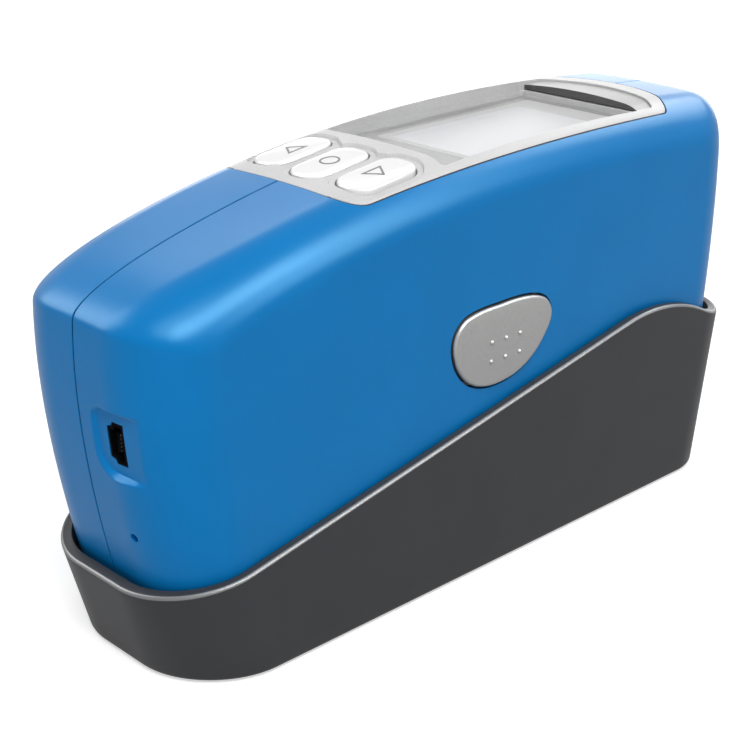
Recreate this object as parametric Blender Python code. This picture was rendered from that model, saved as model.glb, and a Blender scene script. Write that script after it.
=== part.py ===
"""Gloss meter resting in its calibration holder.

Two moulded half shells meet on the plane Y = 0. They carry a silver top panel with a display
window, an end trim and three keys, and a wide button on the -Y side. Inside are the lamps, lenses
and detectors of three measuring angles, the boards and a battery cell. The holder is a cup whose
rim climbs along the sides, and it keeps a black glass tile under the measuring aperture.

Sizes are in millimetres until a mesh is made. X runs from the socket end (-) to the display
end (+), Z is up from the table, and the origin is under the middle of the whole object.
"""
import math

import bmesh
import bpy
from mathutils import Matrix, Vector

MM = 0.001

# Clearances
FIT = 0.3                # between pieces that touch
WINDOW_FIT = 0.3
KEY_FIT = 0.35
BUTTON_FIT = 0.4
HOLDER_FIT = 0.4         # between the casing's sides and the holder

# Holder
MIDDLE = 0.7             # the casing's middle lies this far towards -X from the origin
PAD_RADIUS = 4.2
PAD_HEIGHT = 1.0
PAD_PROUD = 0.4
PAD_FROM_END = 28.0      # from the casing's ends to the pads
PAD_Y = 13.0
HOLDER_FLOOR = 3.2
FLARE_USB = 0.26         # how much each wall leans out, mm for each mm of height
FLARE_FAR = 0.12
FLARE_SIDE = 0.03
CORNER_USB = 17.0
CORNER_FAR = 13.4
BOW_USB = 1.35           # how far the corners are pulled in behind the bowed ends
BOW_FAR = 0.5
WALL_USB = 2.6
WALL_FAR = 2.0
WALL_SIDE = 1.44
ROOM_USB = 0.2           # between the casing's foot and the cup's foot, at each end
ROOM_FAR = 1.2
RIM_ROUND = 0.6
CUP_FILLET = 1.0
CREST_FROM_FAR = 31.8    # top of the rim's wave
CREST_Z = 43.9
CREST_RADIUS = 42.0
CLIMB = 11.5             # degrees, the rim's climb along the sides
FALL = 26.6              # degrees, the steepest part behind the crest
DIP_RADIUS = 25.0

# Casing
CASE_LENGTH = 160.0
CASE_WIDTH = 45.0
SEAT_GAP = 0.4           # under the casing
DECK_HEIGHT = 81.6       # of the roof at the display end, above the casing's foot
USB_DROP = 5.6           # how much lower the roof starts at the socket end
ROOF_FROM_USB = 34.0     # the roof's even curve starts this far from the socket end
ROOF_FROM_FAR = 10.0     # and stops this far from the display end
ROOF_BOW = 5.4           # its tangents meet this far above its display end
BOW_FROM_USB = 83.0      # and this far from the socket end
USB_ROUND = 13.1         # height of the rounding at each end of the roof
FAR_ROUND = 12.6
ROUND_LEFT = 3.1         # what is left of the roundings where the sides begin
USB_LEAN = 8.7           # how far each end is drawn in at its foot
FAR_LEAN = 6.0
USB_BULGE = 1.6          # the ends' tangents meet this far outside the length
FAR_BULGE = 0.4
USB_BULGE_AT = 0.47      # and at this part of the deck's height
FAR_BULGE_AT = 0.5
FAR_SHOULDER_IN = 1.2    # how far the display end is drawn in at its shoulder
USB_RADIUS = 14.6        # upright corners at each end
FAR_RADIUS = 12.0
TOP_RADIUS = 9.5         # between roof and sides
CROWN = 1.0              # fall of the roof from its middle to the sides
CROWN_FROM = 26.0        # the crown fades in over this height below the socket end's roof
LIFT = 0.45            # of the roof over its side view
DRAFT = 0.0146           # how much each side leans out, mm for each mm of height
SHELL_WALL = 2.4
SEAM = 0.3

# Top panel and what it holds
PANEL_FROM_END = 18.2    # from the display end to the panel's tip
PANEL_FROM_USB = 45.8    # from the socket end to its front edge
PANEL_HALF = 19.3
PANEL_BARREL = 0.0003    # how fast the long edges draw in from their widest point
PANEL_CORNER = 5.0       # at the panel's front
PANEL_END_CORNER = 2.2   # and at its far end
PANEL_ARC = 31.0         # radius of its far end
PANEL_EDGE = 1.2
LEDGE = 1.6
KEY_DECK = 5.7           # depth of the panel's underside over the keys' flanges
WINDOW_DECK = 4.6        # and over the display
DECK_STEP = 4.0          # the step between them lies this far before the window
WINDOW_HALF = 16.0
WINDOW_FROM_FRONT = 27.2
WINDOW_FROM_TIP = 14.8
WINDOW_DEPTH = 1.0       # of the window's front edge
WINDOW_RISE = 0.0102     # slope of the flat window along X
WINDOW_SHEET = 1.2
WINDOW_LEDGE = 1.6
TRIM_LENGTH = 9.7
TRIM_ARC = 32.0
TRIM_CORNER = 1.2
TRIM_DEPTH = 0.45
TRIM_ROOT = 0.2          # its seat lies this far below the window's face
TRIM_GAP = 0.6           # the window's seat runs on this far towards the trim
KEY_LENGTH = 15.2
KEY_WIDTH = 9.4
KEY_PITCH = 10.5
KEY_ROUND = 3.0
KEY_FROM_FRONT = 11.4    # from the panel's front edge to the keys' middle
KEY_PROUD = 0.75
KEY_TRAVEL = 0.6
KEY_FLANGE = 0.8
SCALLOP = 1.3            # how far the sunk land reaches round each key
SCALLOP_DEPTH = 0.5

# Side button
BUTTON_X = 2.8           # middle of its outline, from the casing's middle
BUTTON_RAISED = 44.0     # above the casing's foot
BUTTON_LENGTH = 28.0
BUTTON_HEIGHT = 16.4
BUTTON_PROUD = 0.7
BUTTON_TRAVEL = 0.8
BUTTON_FLANGE = 1.0
BUTTON_BEVEL = 0.6
SWITCH_HALF = 3.0
SIDE_BOARD_HALF = 12.0
SIDE_BOARD_LOW = 5.5     # how far it reaches below and above the button's middle
SIDE_BOARD_HIGH = 6.5

# Socket end
PORT_Y = -8.6
PORT_HEIGHT = 44.2       # above the casing's foot
PORT_DEPTH = 9.0
PORT_WIDE = 7.7
PORT_THICK = 3.9
PORT_WALL = 0.4
PORT_SLOPE = 1.1         # size of its two slanted corners
PORT_BACK = 0.2          # from the niche's floor to the socket's mouth
NICHE_DEPTH = 0.7
NICHE_SLOPE = 0.1
NICHE_EDGE = -3.6        # its edge near the seam
NICHE_WIDE = 18.0
NICHE_HEIGHT = 13.2
NICHE_LOW = 7.8          # how far it goes down from the socket's middle
PINHOLE_Y = -9.9
PINHOLE_HEIGHT = 25.3    # above the casing's foot
PINHOLE_RADIUS = 0.85
RESET_SIZE = 3.2
USB_BOARD_LENGTH = 14.0
USB_BOARD_LOW = 4.0      # how far it reaches below the pinhole
USB_BOARD_HIGH = 8.0     # and above the socket's middle

# Measuring head
BASE_RAISED = 0.2        # of the base plate above the casing's foot
BASE_THICK = 1.2
APERTURE_HALF = 22.0
APERTURE_SIDE = 5.0
BLOCK_FROM_END = 21.0    # from the casing's ends to the optical block
BLOCK_SIDE = 9.0
BLOCK_KNEE_IN = 15.0     # from the block's ends to the bends of its outline
BLOCK_TOP_IN = 37.0
BLOCK_KNEE_DROP = 12.3
BLOCK_TOE = 7.0
EAR = 3.5                # the ears reach this far round the screws
ANGLES = (20.0, 60.0, 85.0)
BORES = (3.5, 3.5, 2.2)  # radius of the bores at each angle
LAMP_IN = (5.4, 9.7, 1.7)   # from the mouth of each bore to its lamp or detector
LENS_GAP = (4.0, 6.0, 2.0)  # from each lamp to its lens
LENS_THICK = 2.0
LAMP_LENGTH = 5.5
SCREW_IN = 9.0           # from the block's ends to the screws
SCREW_Y = 11.5
SCREW_RADIUS = 1.4
SCREW_LENGTH = 4.1

# Boards, cell and frame
BOARD_THICK = 1.6
BOARD_DEPTH = 9.9        # of the main board's top below the deck
BOARD_HALF_WIDTH = 14.8
BOARD_FROM_FRONT = -2.0  # it starts before the panel's front edge
BOARD_FROM_TIP = 4.0
LCD_THICK = 1.1
LCD_HALF = 12.6
LCD_BORDER = 2.0         # of the display round its glass
SHELF_THICK = 1.8
CELL_RADIUS = 9.2
CELL_LENGTH = 65.0
CELL_BEFORE_PANEL = 15.8 # from the cell's end to the panel's front edge
CELL_DROP = 2.0          # from the shelf down to the cell
CELL_OVER_BLOCK = 6.3
CRADLE_OUT = 12.9
CRADLE_THICK = 4.0

# Tile
TILE_HALF = 42.0
TILE_SIDE = 11.0
TRAY_BORDER = 3.0
TRAY_DEPTH = 2.0

HALF = CASE_LENGTH / 2.0
SIDE = CASE_WIDTH / 2.0
CREST_X = HALF - CREST_FROM_FAR
CUP_BASE = PAD_PROUD
CASE_FOOT = CUP_BASE + HOLDER_FLOOR + SEAT_GAP
ROOF_FAR = CASE_FOOT + DECK_HEIGHT
ROOF_USB = ROOF_FAR - USB_DROP
DRAFT_LEVEL = ROOF_FAR - 10.6
KEY_CEILING = ROOF_FAR - KEY_DECK
WINDOW_CEILING = ROOF_FAR - WINDOW_DECK
WINDOW_FRONT_Z = ROOF_FAR - WINDOW_DEPTH
BOARD_TOP = ROOF_FAR - BOARD_DEPTH
BUTTON_Z = CASE_FOOT + BUTTON_RAISED
PORT_Z = CASE_FOOT + PORT_HEIGHT
PINHOLE_Z = CASE_FOOT + PINHOLE_HEIGHT
BASE_LOW = CASE_FOOT + BASE_RAISED
BLOCK_LOW = BASE_LOW + BASE_THICK + FIT
SHELF_TOP = BOARD_TOP - BOARD_THICK - FIT
SHELF_LOW = SHELF_TOP - SHELF_THICK
CELL_Z = SHELF_LOW - CELL_DROP - CELL_RADIUS
BLOCK_TOP = CELL_Z - CELL_RADIUS - CELL_OVER_BLOCK
BLOCK_HALF = HALF - BLOCK_FROM_END
SCREW_X = BLOCK_HALF - SCREW_IN
PANEL_TIP = HALF - PANEL_FROM_END
PANEL_FRONT = -HALF + PANEL_FROM_USB
PANEL_WIDEST = 0.5 * (PANEL_FRONT + PANEL_TIP)
WINDOW_FRONT = PANEL_FRONT + WINDOW_FROM_FRONT
WINDOW_END = PANEL_TIP - WINDOW_FROM_TIP
CELL_START = PANEL_FRONT - CELL_BEFORE_PANEL
KEY_X = PANEL_FRONT + KEY_FROM_FRONT


def lerp(a, b, t):
    return a + (b - a) * t


def bezier(start, control, end, t):
    """Point and direction on a parabolic arc."""
    a = [lerp(s, c, t) for s, c in zip(start, control)]
    b = [lerp(c, e, t) for c, e in zip(control, end)]
    point = [lerp(p, q, t) for p, q in zip(a, b)]
    return point, (b[0] - a[0], b[1] - a[1])


def arc_chain(knots, controls, counts):
    """Parabolic arcs from knot to knot, clockwise: points with their outward normals."""
    outline = []
    for start, control, end, count in zip(knots, controls, knots[1:], counts):
        for k in range(count + 1):
            point, (dx, dz) = bezier(start, control, end, k / count)
            size = math.hypot(dx, dz)
            outline.append((point[0], point[1], -dz / size, dx / size))
        outline.pop()
    point, (dx, dz) = bezier(knots[-2], controls[-1], knots[-1], 1.0)
    size = math.hypot(dx, dz)
    return outline + [(point[0], point[1], -dz / size, dx / size)]


def meet(a, b, c, d):
    """Where the line a-b meets the line c-d."""
    r = (b[0] - a[0], b[1] - a[1])
    s = (d[0] - c[0], d[1] - c[1])
    t = ((c[0] - a[0]) * s[1] - (c[1] - a[1]) * s[0]) / (r[0] * s[1] - r[1] * s[0])
    return (a[0] + r[0] * t, a[1] + r[1] * t)


def arc_place(start, control, end, axis, value):
    """Where along a parabolic arc one coordinate, 0 for X and 1 for Z, reaches a value."""
    a = start[axis] - 2.0 * control[axis] + end[axis]
    b = 2.0 * (control[axis] - start[axis])
    c = start[axis] - value
    if abs(a) < 1e-9:
        return -c / b
    root = math.sqrt(b * b - 4.0 * a * c)
    return min((-b + root) / (2.0 * a), (-b - root) / (2.0 * a), key=lambda t: abs(t - 0.5))


def ease(t):
    """Smooth step from 0 to 1."""
    t = min(max(t, 0.0), 1.0)
    return t * t * (3.0 - 2.0 * t)


USB_WALL = ((-HALF + USB_LEAN, CASE_FOOT),
            (-HALF - USB_BULGE, CASE_FOOT + USB_BULGE_AT * DECK_HEIGHT),
            (-HALF + 0.2, ROOF_USB - USB_ROUND))
ROOF = ((-HALF + ROOF_FROM_USB, ROOF_USB),
        (-HALF + BOW_FROM_USB, ROOF_FAR + ROOF_BOW),
        (HALF - ROOF_FROM_FAR, ROOF_FAR))
FAR_WALL = ((HALF - FAR_SHOULDER_IN, ROOF_FAR - FAR_ROUND),
            (HALF + FAR_BULGE, CASE_FOOT + FAR_BULGE_AT * DECK_HEIGHT),
            (HALF - FAR_LEAN, CASE_FOOT))


def piece_of_arc(arc, low, high, count, move, radius):
    """Points on part of an arc, moved, with the radius of the edge beside them."""
    points = []
    for k in range(count + 1):
        (x, z), _direction = bezier(*arc, lerp(low, high, k / count))
        points.append((x + move[0], z + move[1], radius))
    return points


def rounding(before, before_way, after, after_way, count):
    """Points between two arcs on a third one that touches both."""
    corner = meet(before, (before[0] + before_way[0], before[1] + before_way[1]),
                  after, (after[0] + after_way[0], after[1] + after_way[1]))
    points = []
    for k in range(1, count):
        (x, z), _direction = bezier(before[:2], corner, after[:2], k / count)
        points.append((x, z, lerp(before[2], after[2], ease(k / count))))
    return points


def case_profile(skin, fall, below, counts=(7, 7, 14, 6, 8)):
    """Side view of the casing, drawn in by skin and, by fall from 0 to 1, to where its sides begin.

    From the foot of the socket end over the roof to the other foot: X, Z and the radius of the
    edge between this place and the side.
    """
    in_usb = lerp(skin, USB_RADIUS, fall)
    in_far = lerp(skin, FAR_RADIUS, fall)
    in_z = lerp(skin, TOP_RADIUS, fall)
    usb_top = lerp(USB_WALL[2][1], ROOF_USB - TOP_RADIUS - 2.3 * ROUND_LEFT, fall)
    far_top = lerp(FAR_WALL[0][1], ROOF_FAR - TOP_RADIUS - ROUND_LEFT, fall)
    roof_stop = lerp(ROOF[2][0] - skin, FAR_WALL[0][0] - FAR_RADIUS - ROUND_LEFT, fall)
    usb_stop = arc_place(*USB_WALL, 1, usb_top)
    far_start = arc_place(*FAR_WALL, 1, far_top)
    roof_end = arc_place(*ROOF, 0, roof_stop)
    usb = piece_of_arc(USB_WALL, 0.0, usb_stop, counts[0], (in_usb, 0.0), USB_RADIUS)
    over = piece_of_arc(ROOF, 0.0, roof_end, counts[2], (0.0, -in_z), TOP_RADIUS)
    far = piece_of_arc(FAR_WALL, far_start, 1.0, counts[4], (-in_far, 0.0), FAR_RADIUS)
    outline = usb
    outline += rounding(usb[-1], bezier(*USB_WALL, usb_stop)[1], over[0], bezier(*ROOF, 0.0)[1],
                        counts[1])
    outline += over
    outline += rounding(over[-1], bezier(*ROOF, roof_end)[1], far[0], bezier(*FAR_WALL, far_start)[1],
                        counts[3])
    outline += far
    if below:
        for spot, place, sign, arc in ((0, 0.0, -1.0, USB_WALL), (-1, 1.0, 1.0, FAR_WALL)):
            dx, dz = bezier(*arc, place)[1]
            x, z, radius = outline[spot]
            outline[spot] = (x + sign * dx / abs(dz) * below, z - below, radius)
    return outline


def swell(x, y, z):
    """Crown the roof, and lean the sides by their draft."""
    rise = ease((z - ROOF_USB + CROWN_FROM) / CROWN_FROM)
    z += rise * (LIFT - CROWN * (y / SIDE) ** 2)
    y *= 1.0 - DRAFT * (DRAFT_LEVEL - z) / SIDE
    return (x, y, z)


def case_ring(turn, side, skin, below, seam=0.0, inward=1.0):
    """One loop of the casing: turn goes from 0, where the middle's flat ends, to 90 at the side.

    inward draws a loop from that flat towards the seam.
    """
    fall = 1.0 - math.cos(math.radians(turn))
    reach = 1.0 - math.sin(math.radians(turn))
    ring = []
    for x, z, radius in case_profile(skin, fall, below):
        y = lerp(seam, SIDE - skin - (radius - skin) * reach, inward)
        ring.append(swell(x, side * y, z))
    return ring


def case_half(name, side, skin, seam, below, finish=None):
    """Half of the casing's volume, drawn in by skin, from the seam to the side."""
    rings = [case_ring(0.0, side, skin, below, seam, inward) for inward in (0.0, 0.5)]
    rings += [case_ring(turn, side, skin, below) for turn in (0.0, 22.5, 45.0, 67.5, 90.0)]
    return loft(name, rings, finish)


def roof(x, y):
    """Height of the casing's outer surface over a point of the plan."""
    height = bezier(*ROOF, arc_place(*ROOF, 0, x))[0][1]
    flat = SIDE - TOP_RADIUS
    wide = abs(y)
    for _ in range(4):
        over = min(max((wide - flat) / TOP_RADIUS, 0.0), 0.999)
        level = swell(x, wide, height - TOP_RADIUS * (1.0 - math.sqrt(1.0 - over * over)))[2]
        wide = abs(y) / (1.0 - DRAFT * (DRAFT_LEVEL - level) / SIDE)
    return level


def side_plane(z):
    """Half width of the casing's flat side at a height."""
    return SIDE - DRAFT * (DRAFT_LEVEL - z)


def end_plane(z):
    """X of the socket end's middle at a height."""
    return bezier(*USB_WALL, arc_place(*USB_WALL, 1, z))[0][0]


def material(name, colour, roughness, metallic=0.0):
    made = bpy.data.materials.new(name)
    made.use_nodes = True
    shader = made.node_tree.nodes["Principled BSDF"]
    shader.inputs["Base Color"].default_value = (*colour, 1.0)
    shader.inputs["Roughness"].default_value = roughness
    shader.inputs["Metallic"].default_value = metallic
    made.diffuse_color = (*colour, 1.0)
    return made


def solid(name, points, faces, finish=None):
    """Turn points in millimetres, with X from the casing's middle, into an object."""
    mesh = bpy.data.meshes.new(name)
    mesh.from_pydata([((x - MIDDLE) * MM, y * MM, z * MM) for x, y, z in points], [], faces)
    work = bmesh.new()
    work.from_mesh(mesh)
    bmesh.ops.recalc_face_normals(work, faces=work.faces)
    work.to_mesh(mesh)
    work.free()
    obj = bpy.data.objects.new(name, mesh)
    bpy.context.scene.collection.objects.link(obj)
    if finish:
        mesh.materials.append(finish)
        mesh.shade_smooth()
        mesh.set_sharp_from_angle(angle=math.radians(35.0))
    return obj


def set_origin(obj, place):
    """Move an object's origin to a place, with its shape left where it is."""
    point = Vector(((place[0] - MIDDLE) * MM, place[1] * MM, place[2] * MM))
    obj.data.transform(Matrix.Translation(-point))
    obj.location = point


def gather(name, place):
    """Parent the pieces made so far, if they have no parent, to an empty at a place."""
    empty = bpy.data.objects.new(name, None)
    bpy.context.scene.collection.objects.link(empty)
    empty.location = Vector(place) * MM
    for obj in bpy.data.objects:
        if obj.type == "MESH" and obj.parent is None:
            obj.parent = empty
            obj.matrix_parent_inverse = Matrix.Translation(-empty.location)


def loft(name, rings, finish=None):
    """Join rings of equal length and cap both ends."""
    count = len(rings[0])
    points = [point for ring in rings for point in ring]
    faces = [tuple(range(count)), tuple(range((len(rings) - 1) * count, len(rings) * count))]
    for level in range(len(rings) - 1):
        low = level * count
        for k in range(count):
            step = (k + 1) % count
            faces.append((low + k, low + step, low + count + step, low + count + k))
    return solid(name, points, faces, finish)


def sheet(name, stations, columns, low, high, finish=None, across="y"):
    """Closed slab between two surfaces, over strips of the plan.

    Each station is (place, from, to); low and high give the heights over a point.
    """
    rows = []
    for place, start, end in stations:
        row = []
        for k in range(columns + 1):
            other = lerp(start, end, k / columns)
            row.append((place, other) if across == "y" else (other, place))
        rows.append(row)
    points = [(x, y, surface(x, y)) for surface in (low, high) for row in rows for x, y in row]
    wide = columns + 1
    count = len(rows) * wide
    faces = []
    for i in range(len(rows) - 1):
        for k in range(columns):
            a = i * wide + k
            faces.append((a, a + 1, a + wide + 1, a + wide))
            faces.append(tuple(count + v for v in (a, a + 1, a + wide + 1, a + wide)))
    border = [k for k in range(wide)]
    border += [i * wide + columns for i in range(1, len(rows))]
    border += [(len(rows) - 1) * wide + k for k in range(columns - 1, -1, -1)]
    border += [i * wide for i in range(len(rows) - 2, 0, -1)]
    for k, a in enumerate(border):
        b = border[(k + 1) % len(border)]
        faces.append((a, b, b + count, a + count))
    return solid(name, points, faces, finish)


def box(name, low, high, finish=None):
    plan = [(low[0], low[1]), (high[0], low[1]), (high[0], high[1]), (low[0], high[1])]
    return loft(name, [[(x, y, z) for x, y in plan] for z in (low[2], high[2])], finish)


def rounded(half_x, half_y, radius, steps=4):
    """Rounded rectangle about the origin, anticlockwise."""
    points = []
    for sx, sy, start in ((1, 1, 0), (-1, 1, 90), (-1, -1, 180), (1, -1, 270)):
        for k in range(steps + 1):
            angle = math.radians(start + 90.0 * k / steps)
            points.append((sx * (half_x - radius) + radius * math.cos(angle),
                           sy * (half_y - radius) + radius * math.sin(angle)))
    return points


def rod(name, start, end, radius, finish=None, sides=14):
    """Round bar between two points."""
    start = Vector(start)
    axis = (Vector(end) - start).normalized()
    across = axis.orthogonal().normalized()
    other = axis.cross(across)
    rings = []
    for centre in (start, Vector(end)):
        ring = []
        for k in range(sides):
            angle = 2.0 * math.pi * k / sides
            ring.append(tuple(centre + (across * math.cos(angle) + other * math.sin(angle)) * radius))
        rings.append(ring)
    return loft(name, rings, finish)


def combine(body, other, how):
    """Apply one boolean and remove the tool."""
    modifier = body.modifiers.new(how.lower(), "BOOLEAN")
    modifier.operation = how
    modifier.object = other
    modifier.solver = "EXACT"
    scene_graph = bpy.context.evaluated_depsgraph_get()
    scene_graph.update()
    mesh = bpy.data.meshes.new_from_object(body.evaluated_get(scene_graph))
    body.modifiers.remove(modifier)
    old = body.data
    body.data = mesh
    bpy.data.meshes.remove(old)
    bpy.data.objects.remove(other)
    return body


def cut(body, *tools):
    for tool in tools:
        combine(body, tool, "DIFFERENCE")
    body.data.shade_smooth()
    body.data.set_sharp_from_angle(angle=math.radians(35.0))
    return body


def join(body, *others):
    for other in others:
        combine(body, other, "UNION")
    return body


# Holder

def rim_height(x):
    """Height of the cup's rim: a straight climb, a round crest and a shallow dip."""
    climb = math.radians(CLIMB)
    fall = math.radians(FALL)
    start = CREST_X - CREST_RADIUS * math.sin(climb)
    drop = CREST_X + CREST_RADIUS * math.sin(fall)
    level = drop + DIP_RADIUS * math.sin(fall)
    if x < start:
        return CREST_Z - CREST_RADIUS * (1.0 - math.cos(climb)) - (start - x) * math.tan(climb)
    if x < drop:
        return CREST_Z - CREST_RADIUS + math.sqrt(CREST_RADIUS ** 2 - (x - CREST_X) ** 2)
    low = CREST_Z - (CREST_RADIUS + DIP_RADIUS) * (1.0 - math.cos(fall))
    if x < level:
        return low + DIP_RADIUS - math.sqrt(DIP_RADIUS ** 2 - (level - x) ** 2)
    return low


CUP_USB = HALF - USB_LEAN + ROOM_USB + WALL_USB      # reach of the cup's foot
CUP_FAR = HALF - FAR_LEAN + ROOM_FAR + WALL_FAR
CUP_HALF = side_plane(CASE_FOOT) + HOLDER_FIT + WALL_SIDE


def cup_point(corner, along, z, inset_usb, inset_far, inset_side, bowed=1.0):
    """Point of the cup's outline at a height: corner and along say where on the outline."""
    usb = CUP_USB + FLARE_USB * z - inset_usb
    far = CUP_FAR + FLARE_FAR * z - inset_far
    half = CUP_HALF + FLARE_SIDE * z - inset_side
    sx, sy = ((1, 1), (-1, 1), (-1, -1), (1, -1))[corner]
    radius = (CORNER_FAR - inset_far) if sx > 0 else (CORNER_USB - inset_usb)
    centre_x = (far - radius) if sx > 0 else (-usb + radius)
    centre_y = sy * (half - radius)
    if along <= 1.0:
        angle = math.radians(90.0 * (corner + along))
        x = centre_x + radius * math.cos(angle)
        y = centre_y + radius * math.sin(angle)
    else:
        here = cup_point(corner, 1.0, z, inset_usb, inset_far, inset_side, bowed)
        after = cup_point((corner + 1) % 4, 0.0, z, inset_usb, inset_far, inset_side, bowed)
        return tuple(lerp(p, q, along - 1.0) for p, q in zip(here, after))
    u = (x - (far - usb) / 2.0) / ((far + usb) / 2.0)
    bow = bowed * (BOW_FAR if u > 0 else BOW_USB)
    x -= math.copysign(bow * abs(u) ** 3 * (y / half) ** 2, u)
    return (x, y)


def cup_places():
    """Steps along the cup's outline: round each corner, then along each side."""
    places = []
    for corner in range(4):
        steps = 16 if corner in (0, 2) else 3
        places += [(corner, k / 8.0) for k in range(9)]
        places += [(corner, 1.0 + k / steps) for k in range(1, steps)]
    return places


def cup_ring(level, insets, under_rim=None):
    """One loop of the cup at a height, or measured down from the rim."""
    ring = []
    for corner, along in cup_places():
        z = level
        if under_rim is not None:
            z = CREST_Z
            for _ in range(6):
                x, _y = cup_point(corner, along, z - CUP_BASE, *insets)
                z = rim_height(x) - under_rim
        x, y = cup_point(corner, along, z - CUP_BASE, *insets)
        ring.append((x, y, z))
    return ring


def build_holder(grey):
    floor_top = CUP_BASE + HOLDER_FLOOR
    rim_wall = WALL_SIDE + (FLARE_SIDE - DRAFT) * (CREST_Z - CASE_FOOT)
    inner = (WALL_USB, WALL_FAR, WALL_SIDE, 0.0)
    r = RIM_ROUND
    rings = [cup_ring(CUP_BASE, (CUP_FILLET,) * 3),
             cup_ring(CUP_BASE + 0.3 * CUP_FILLET, (0.3 * CUP_FILLET,) * 3),
             cup_ring(CUP_BASE + CUP_FILLET, (0.0,) * 3),
             cup_ring(0.0, (0.0,) * 3, r),
             cup_ring(0.0, (0.3 * r,) * 3, 0.3 * r),
             cup_ring(0.0, (r,) * 3, 0.0),
             cup_ring(0.0, (WALL_USB, WALL_FAR, rim_wall, 0.0), 0.0),
             cup_ring(floor_top, inner)]
    cup = loft("holder_shell", rings, grey)
    pocket = box("pocket", (-TILE_HALF - TRAY_BORDER - FIT, -TILE_SIDE - TRAY_BORDER - FIT,
                            floor_top - TRAY_DEPTH - FIT),
                 (TILE_HALF + TRAY_BORDER + FIT, TILE_SIDE + TRAY_BORDER + FIT, floor_top + 5.0))
    tools = [pocket]
    for x, y in pad_places():
        tools.append(rod("seat", (x, y, -1.0), (x, y, PAD_HEIGHT + FIT), PAD_RADIUS + FIT, sides=16))
    return cut(cup, *tools)


def pad_places():
    reach = HALF - PAD_FROM_END
    return [(sx * reach, sy * PAD_Y) for sx in (-1, 1) for sy in (-1, 1)]


def build_holder_pads(rubber):
    for k, (x, y) in enumerate(pad_places()):
        rod(f"holder_pad_{k + 1}", (x, y, 0.0), (x, y, PAD_HEIGHT), PAD_RADIUS, rubber, sides=16)


def build_tile(frame_grey, black_glass):
    top = CUP_BASE + HOLDER_FLOOR
    bottom = top - TRAY_DEPTH
    outer = (TILE_HALF + TRAY_BORDER, TILE_SIDE + TRAY_BORDER)
    tray = box("tile_tray", (-outer[0], -outer[1], bottom), (outer[0], outer[1], top - 0.1), frame_grey)
    cut(tray, box("seat", (-TILE_HALF - FIT, -TILE_SIDE - FIT, bottom + 0.6),
                  (TILE_HALF + FIT, TILE_SIDE + FIT, top + 1.0)))
    box("calibration_tile", (-TILE_HALF, -TILE_SIDE, bottom + 0.6 + FIT),
        (TILE_HALF, TILE_SIDE, top - 0.3), black_glass)


# Casing

def arched_end(tip, arc, corner, half):
    """Corners between two long edges and the arc that joins them at the tip.

    Gives the centre of one corner, the arc's centre and the angle where corner and arc touch.
    """
    centre = tip - arc
    side = half - corner
    start = centre + math.sqrt((arc - corner) ** 2 - side ** 2)
    return start, side, centre, math.atan2(side, start - centre)


def arched_half(x, tip, arc, corner, half):
    """Half width at a station of a form that ends in an arc with rounded corners."""
    start, side, centre, touch = arched_end(tip, arc, corner, half)
    if x <= start:
        return half
    if x < centre + arc * math.cos(touch):
        return side + math.sqrt(max(corner ** 2 - (x - start) ** 2, 0.0))
    return math.sqrt(max(arc ** 2 - (x - centre) ** 2, 0.0))


def arched_places(tip, arc, corner, half, corner_steps, arc_steps):
    """Stations round the corner and along the arc, up to just short of the tip."""
    start, _side, centre, touch = arched_end(tip, arc, corner, half)
    places = []
    for k in range(corner_steps + 1):
        angle = lerp(math.pi / 2.0, touch, k / corner_steps)
        places.append(start + corner * math.cos(angle))
    for k in range(1, arc_steps + 1):
        angle = lerp(touch, math.radians(2.0), k / arc_steps)
        places.append(centre + arc * math.cos(angle))
    return places


def panel_end(shrink):
    return (PANEL_TIP - shrink, PANEL_ARC - shrink, max(PANEL_END_CORNER - shrink, 0.5),
            PANEL_HALF - PANEL_BARREL * (PANEL_TIP - PANEL_WIDEST) ** 2 - shrink)


def panel_half(x, shrink=0.0):
    """Half width of the top panel at a station, with rounded corners and an arc at its tip."""
    half = PANEL_HALF - PANEL_BARREL * (x - PANEL_WIDEST) ** 2 - shrink
    front = PANEL_FRONT + shrink
    radius = PANEL_CORNER - 0.5 * shrink
    if x < front + radius:
        near = max(front + radius - x, 0.0)
        half -= radius - math.sqrt(max(radius ** 2 - near ** 2, 0.0))
    end = panel_end(shrink)
    return half + arched_half(x, *end) - end[3] if x > arched_end(*end)[0] else half


def panel_stations(shrink=0.0):
    front = PANEL_FRONT + shrink
    radius = PANEL_CORNER - 0.5 * shrink
    places = [front, front + 0.13 * radius, front + 0.5 * radius, front + radius]
    end = arched_places(*panel_end(shrink), 3, 7)
    places += [lerp(front + radius, end[0], k / 9.0) for k in range(1, 9)] + end
    return [(x, -panel_half(x, shrink), panel_half(x, shrink)) for x in places]


def roof_sheet(name, stations, low, high, finish=None, columns=6):
    """Slab whose two faces follow the roof at given distances."""
    return sheet(name, stations, columns, lambda x, y: roof(x, y) + low,
                 lambda x, y: roof(x, y) + high, finish)


def panel_tools():
    recess = roof_sheet("recess", panel_stations(-FIT), -PANEL_EDGE - FIT, 4.0)
    opening = roof_sheet("opening", panel_stations(LEDGE), -9.0, 4.0)
    return [recess, opening]


def build_shell(name, side, blue):
    shell = case_half(name, side, 0.0, SEAM / 2.0, 0.0, blue)
    hollow = case_half("hollow", side, SHELL_WALL, -1.0, 3.0)
    return cut(shell, hollow, *panel_tools())


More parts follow.
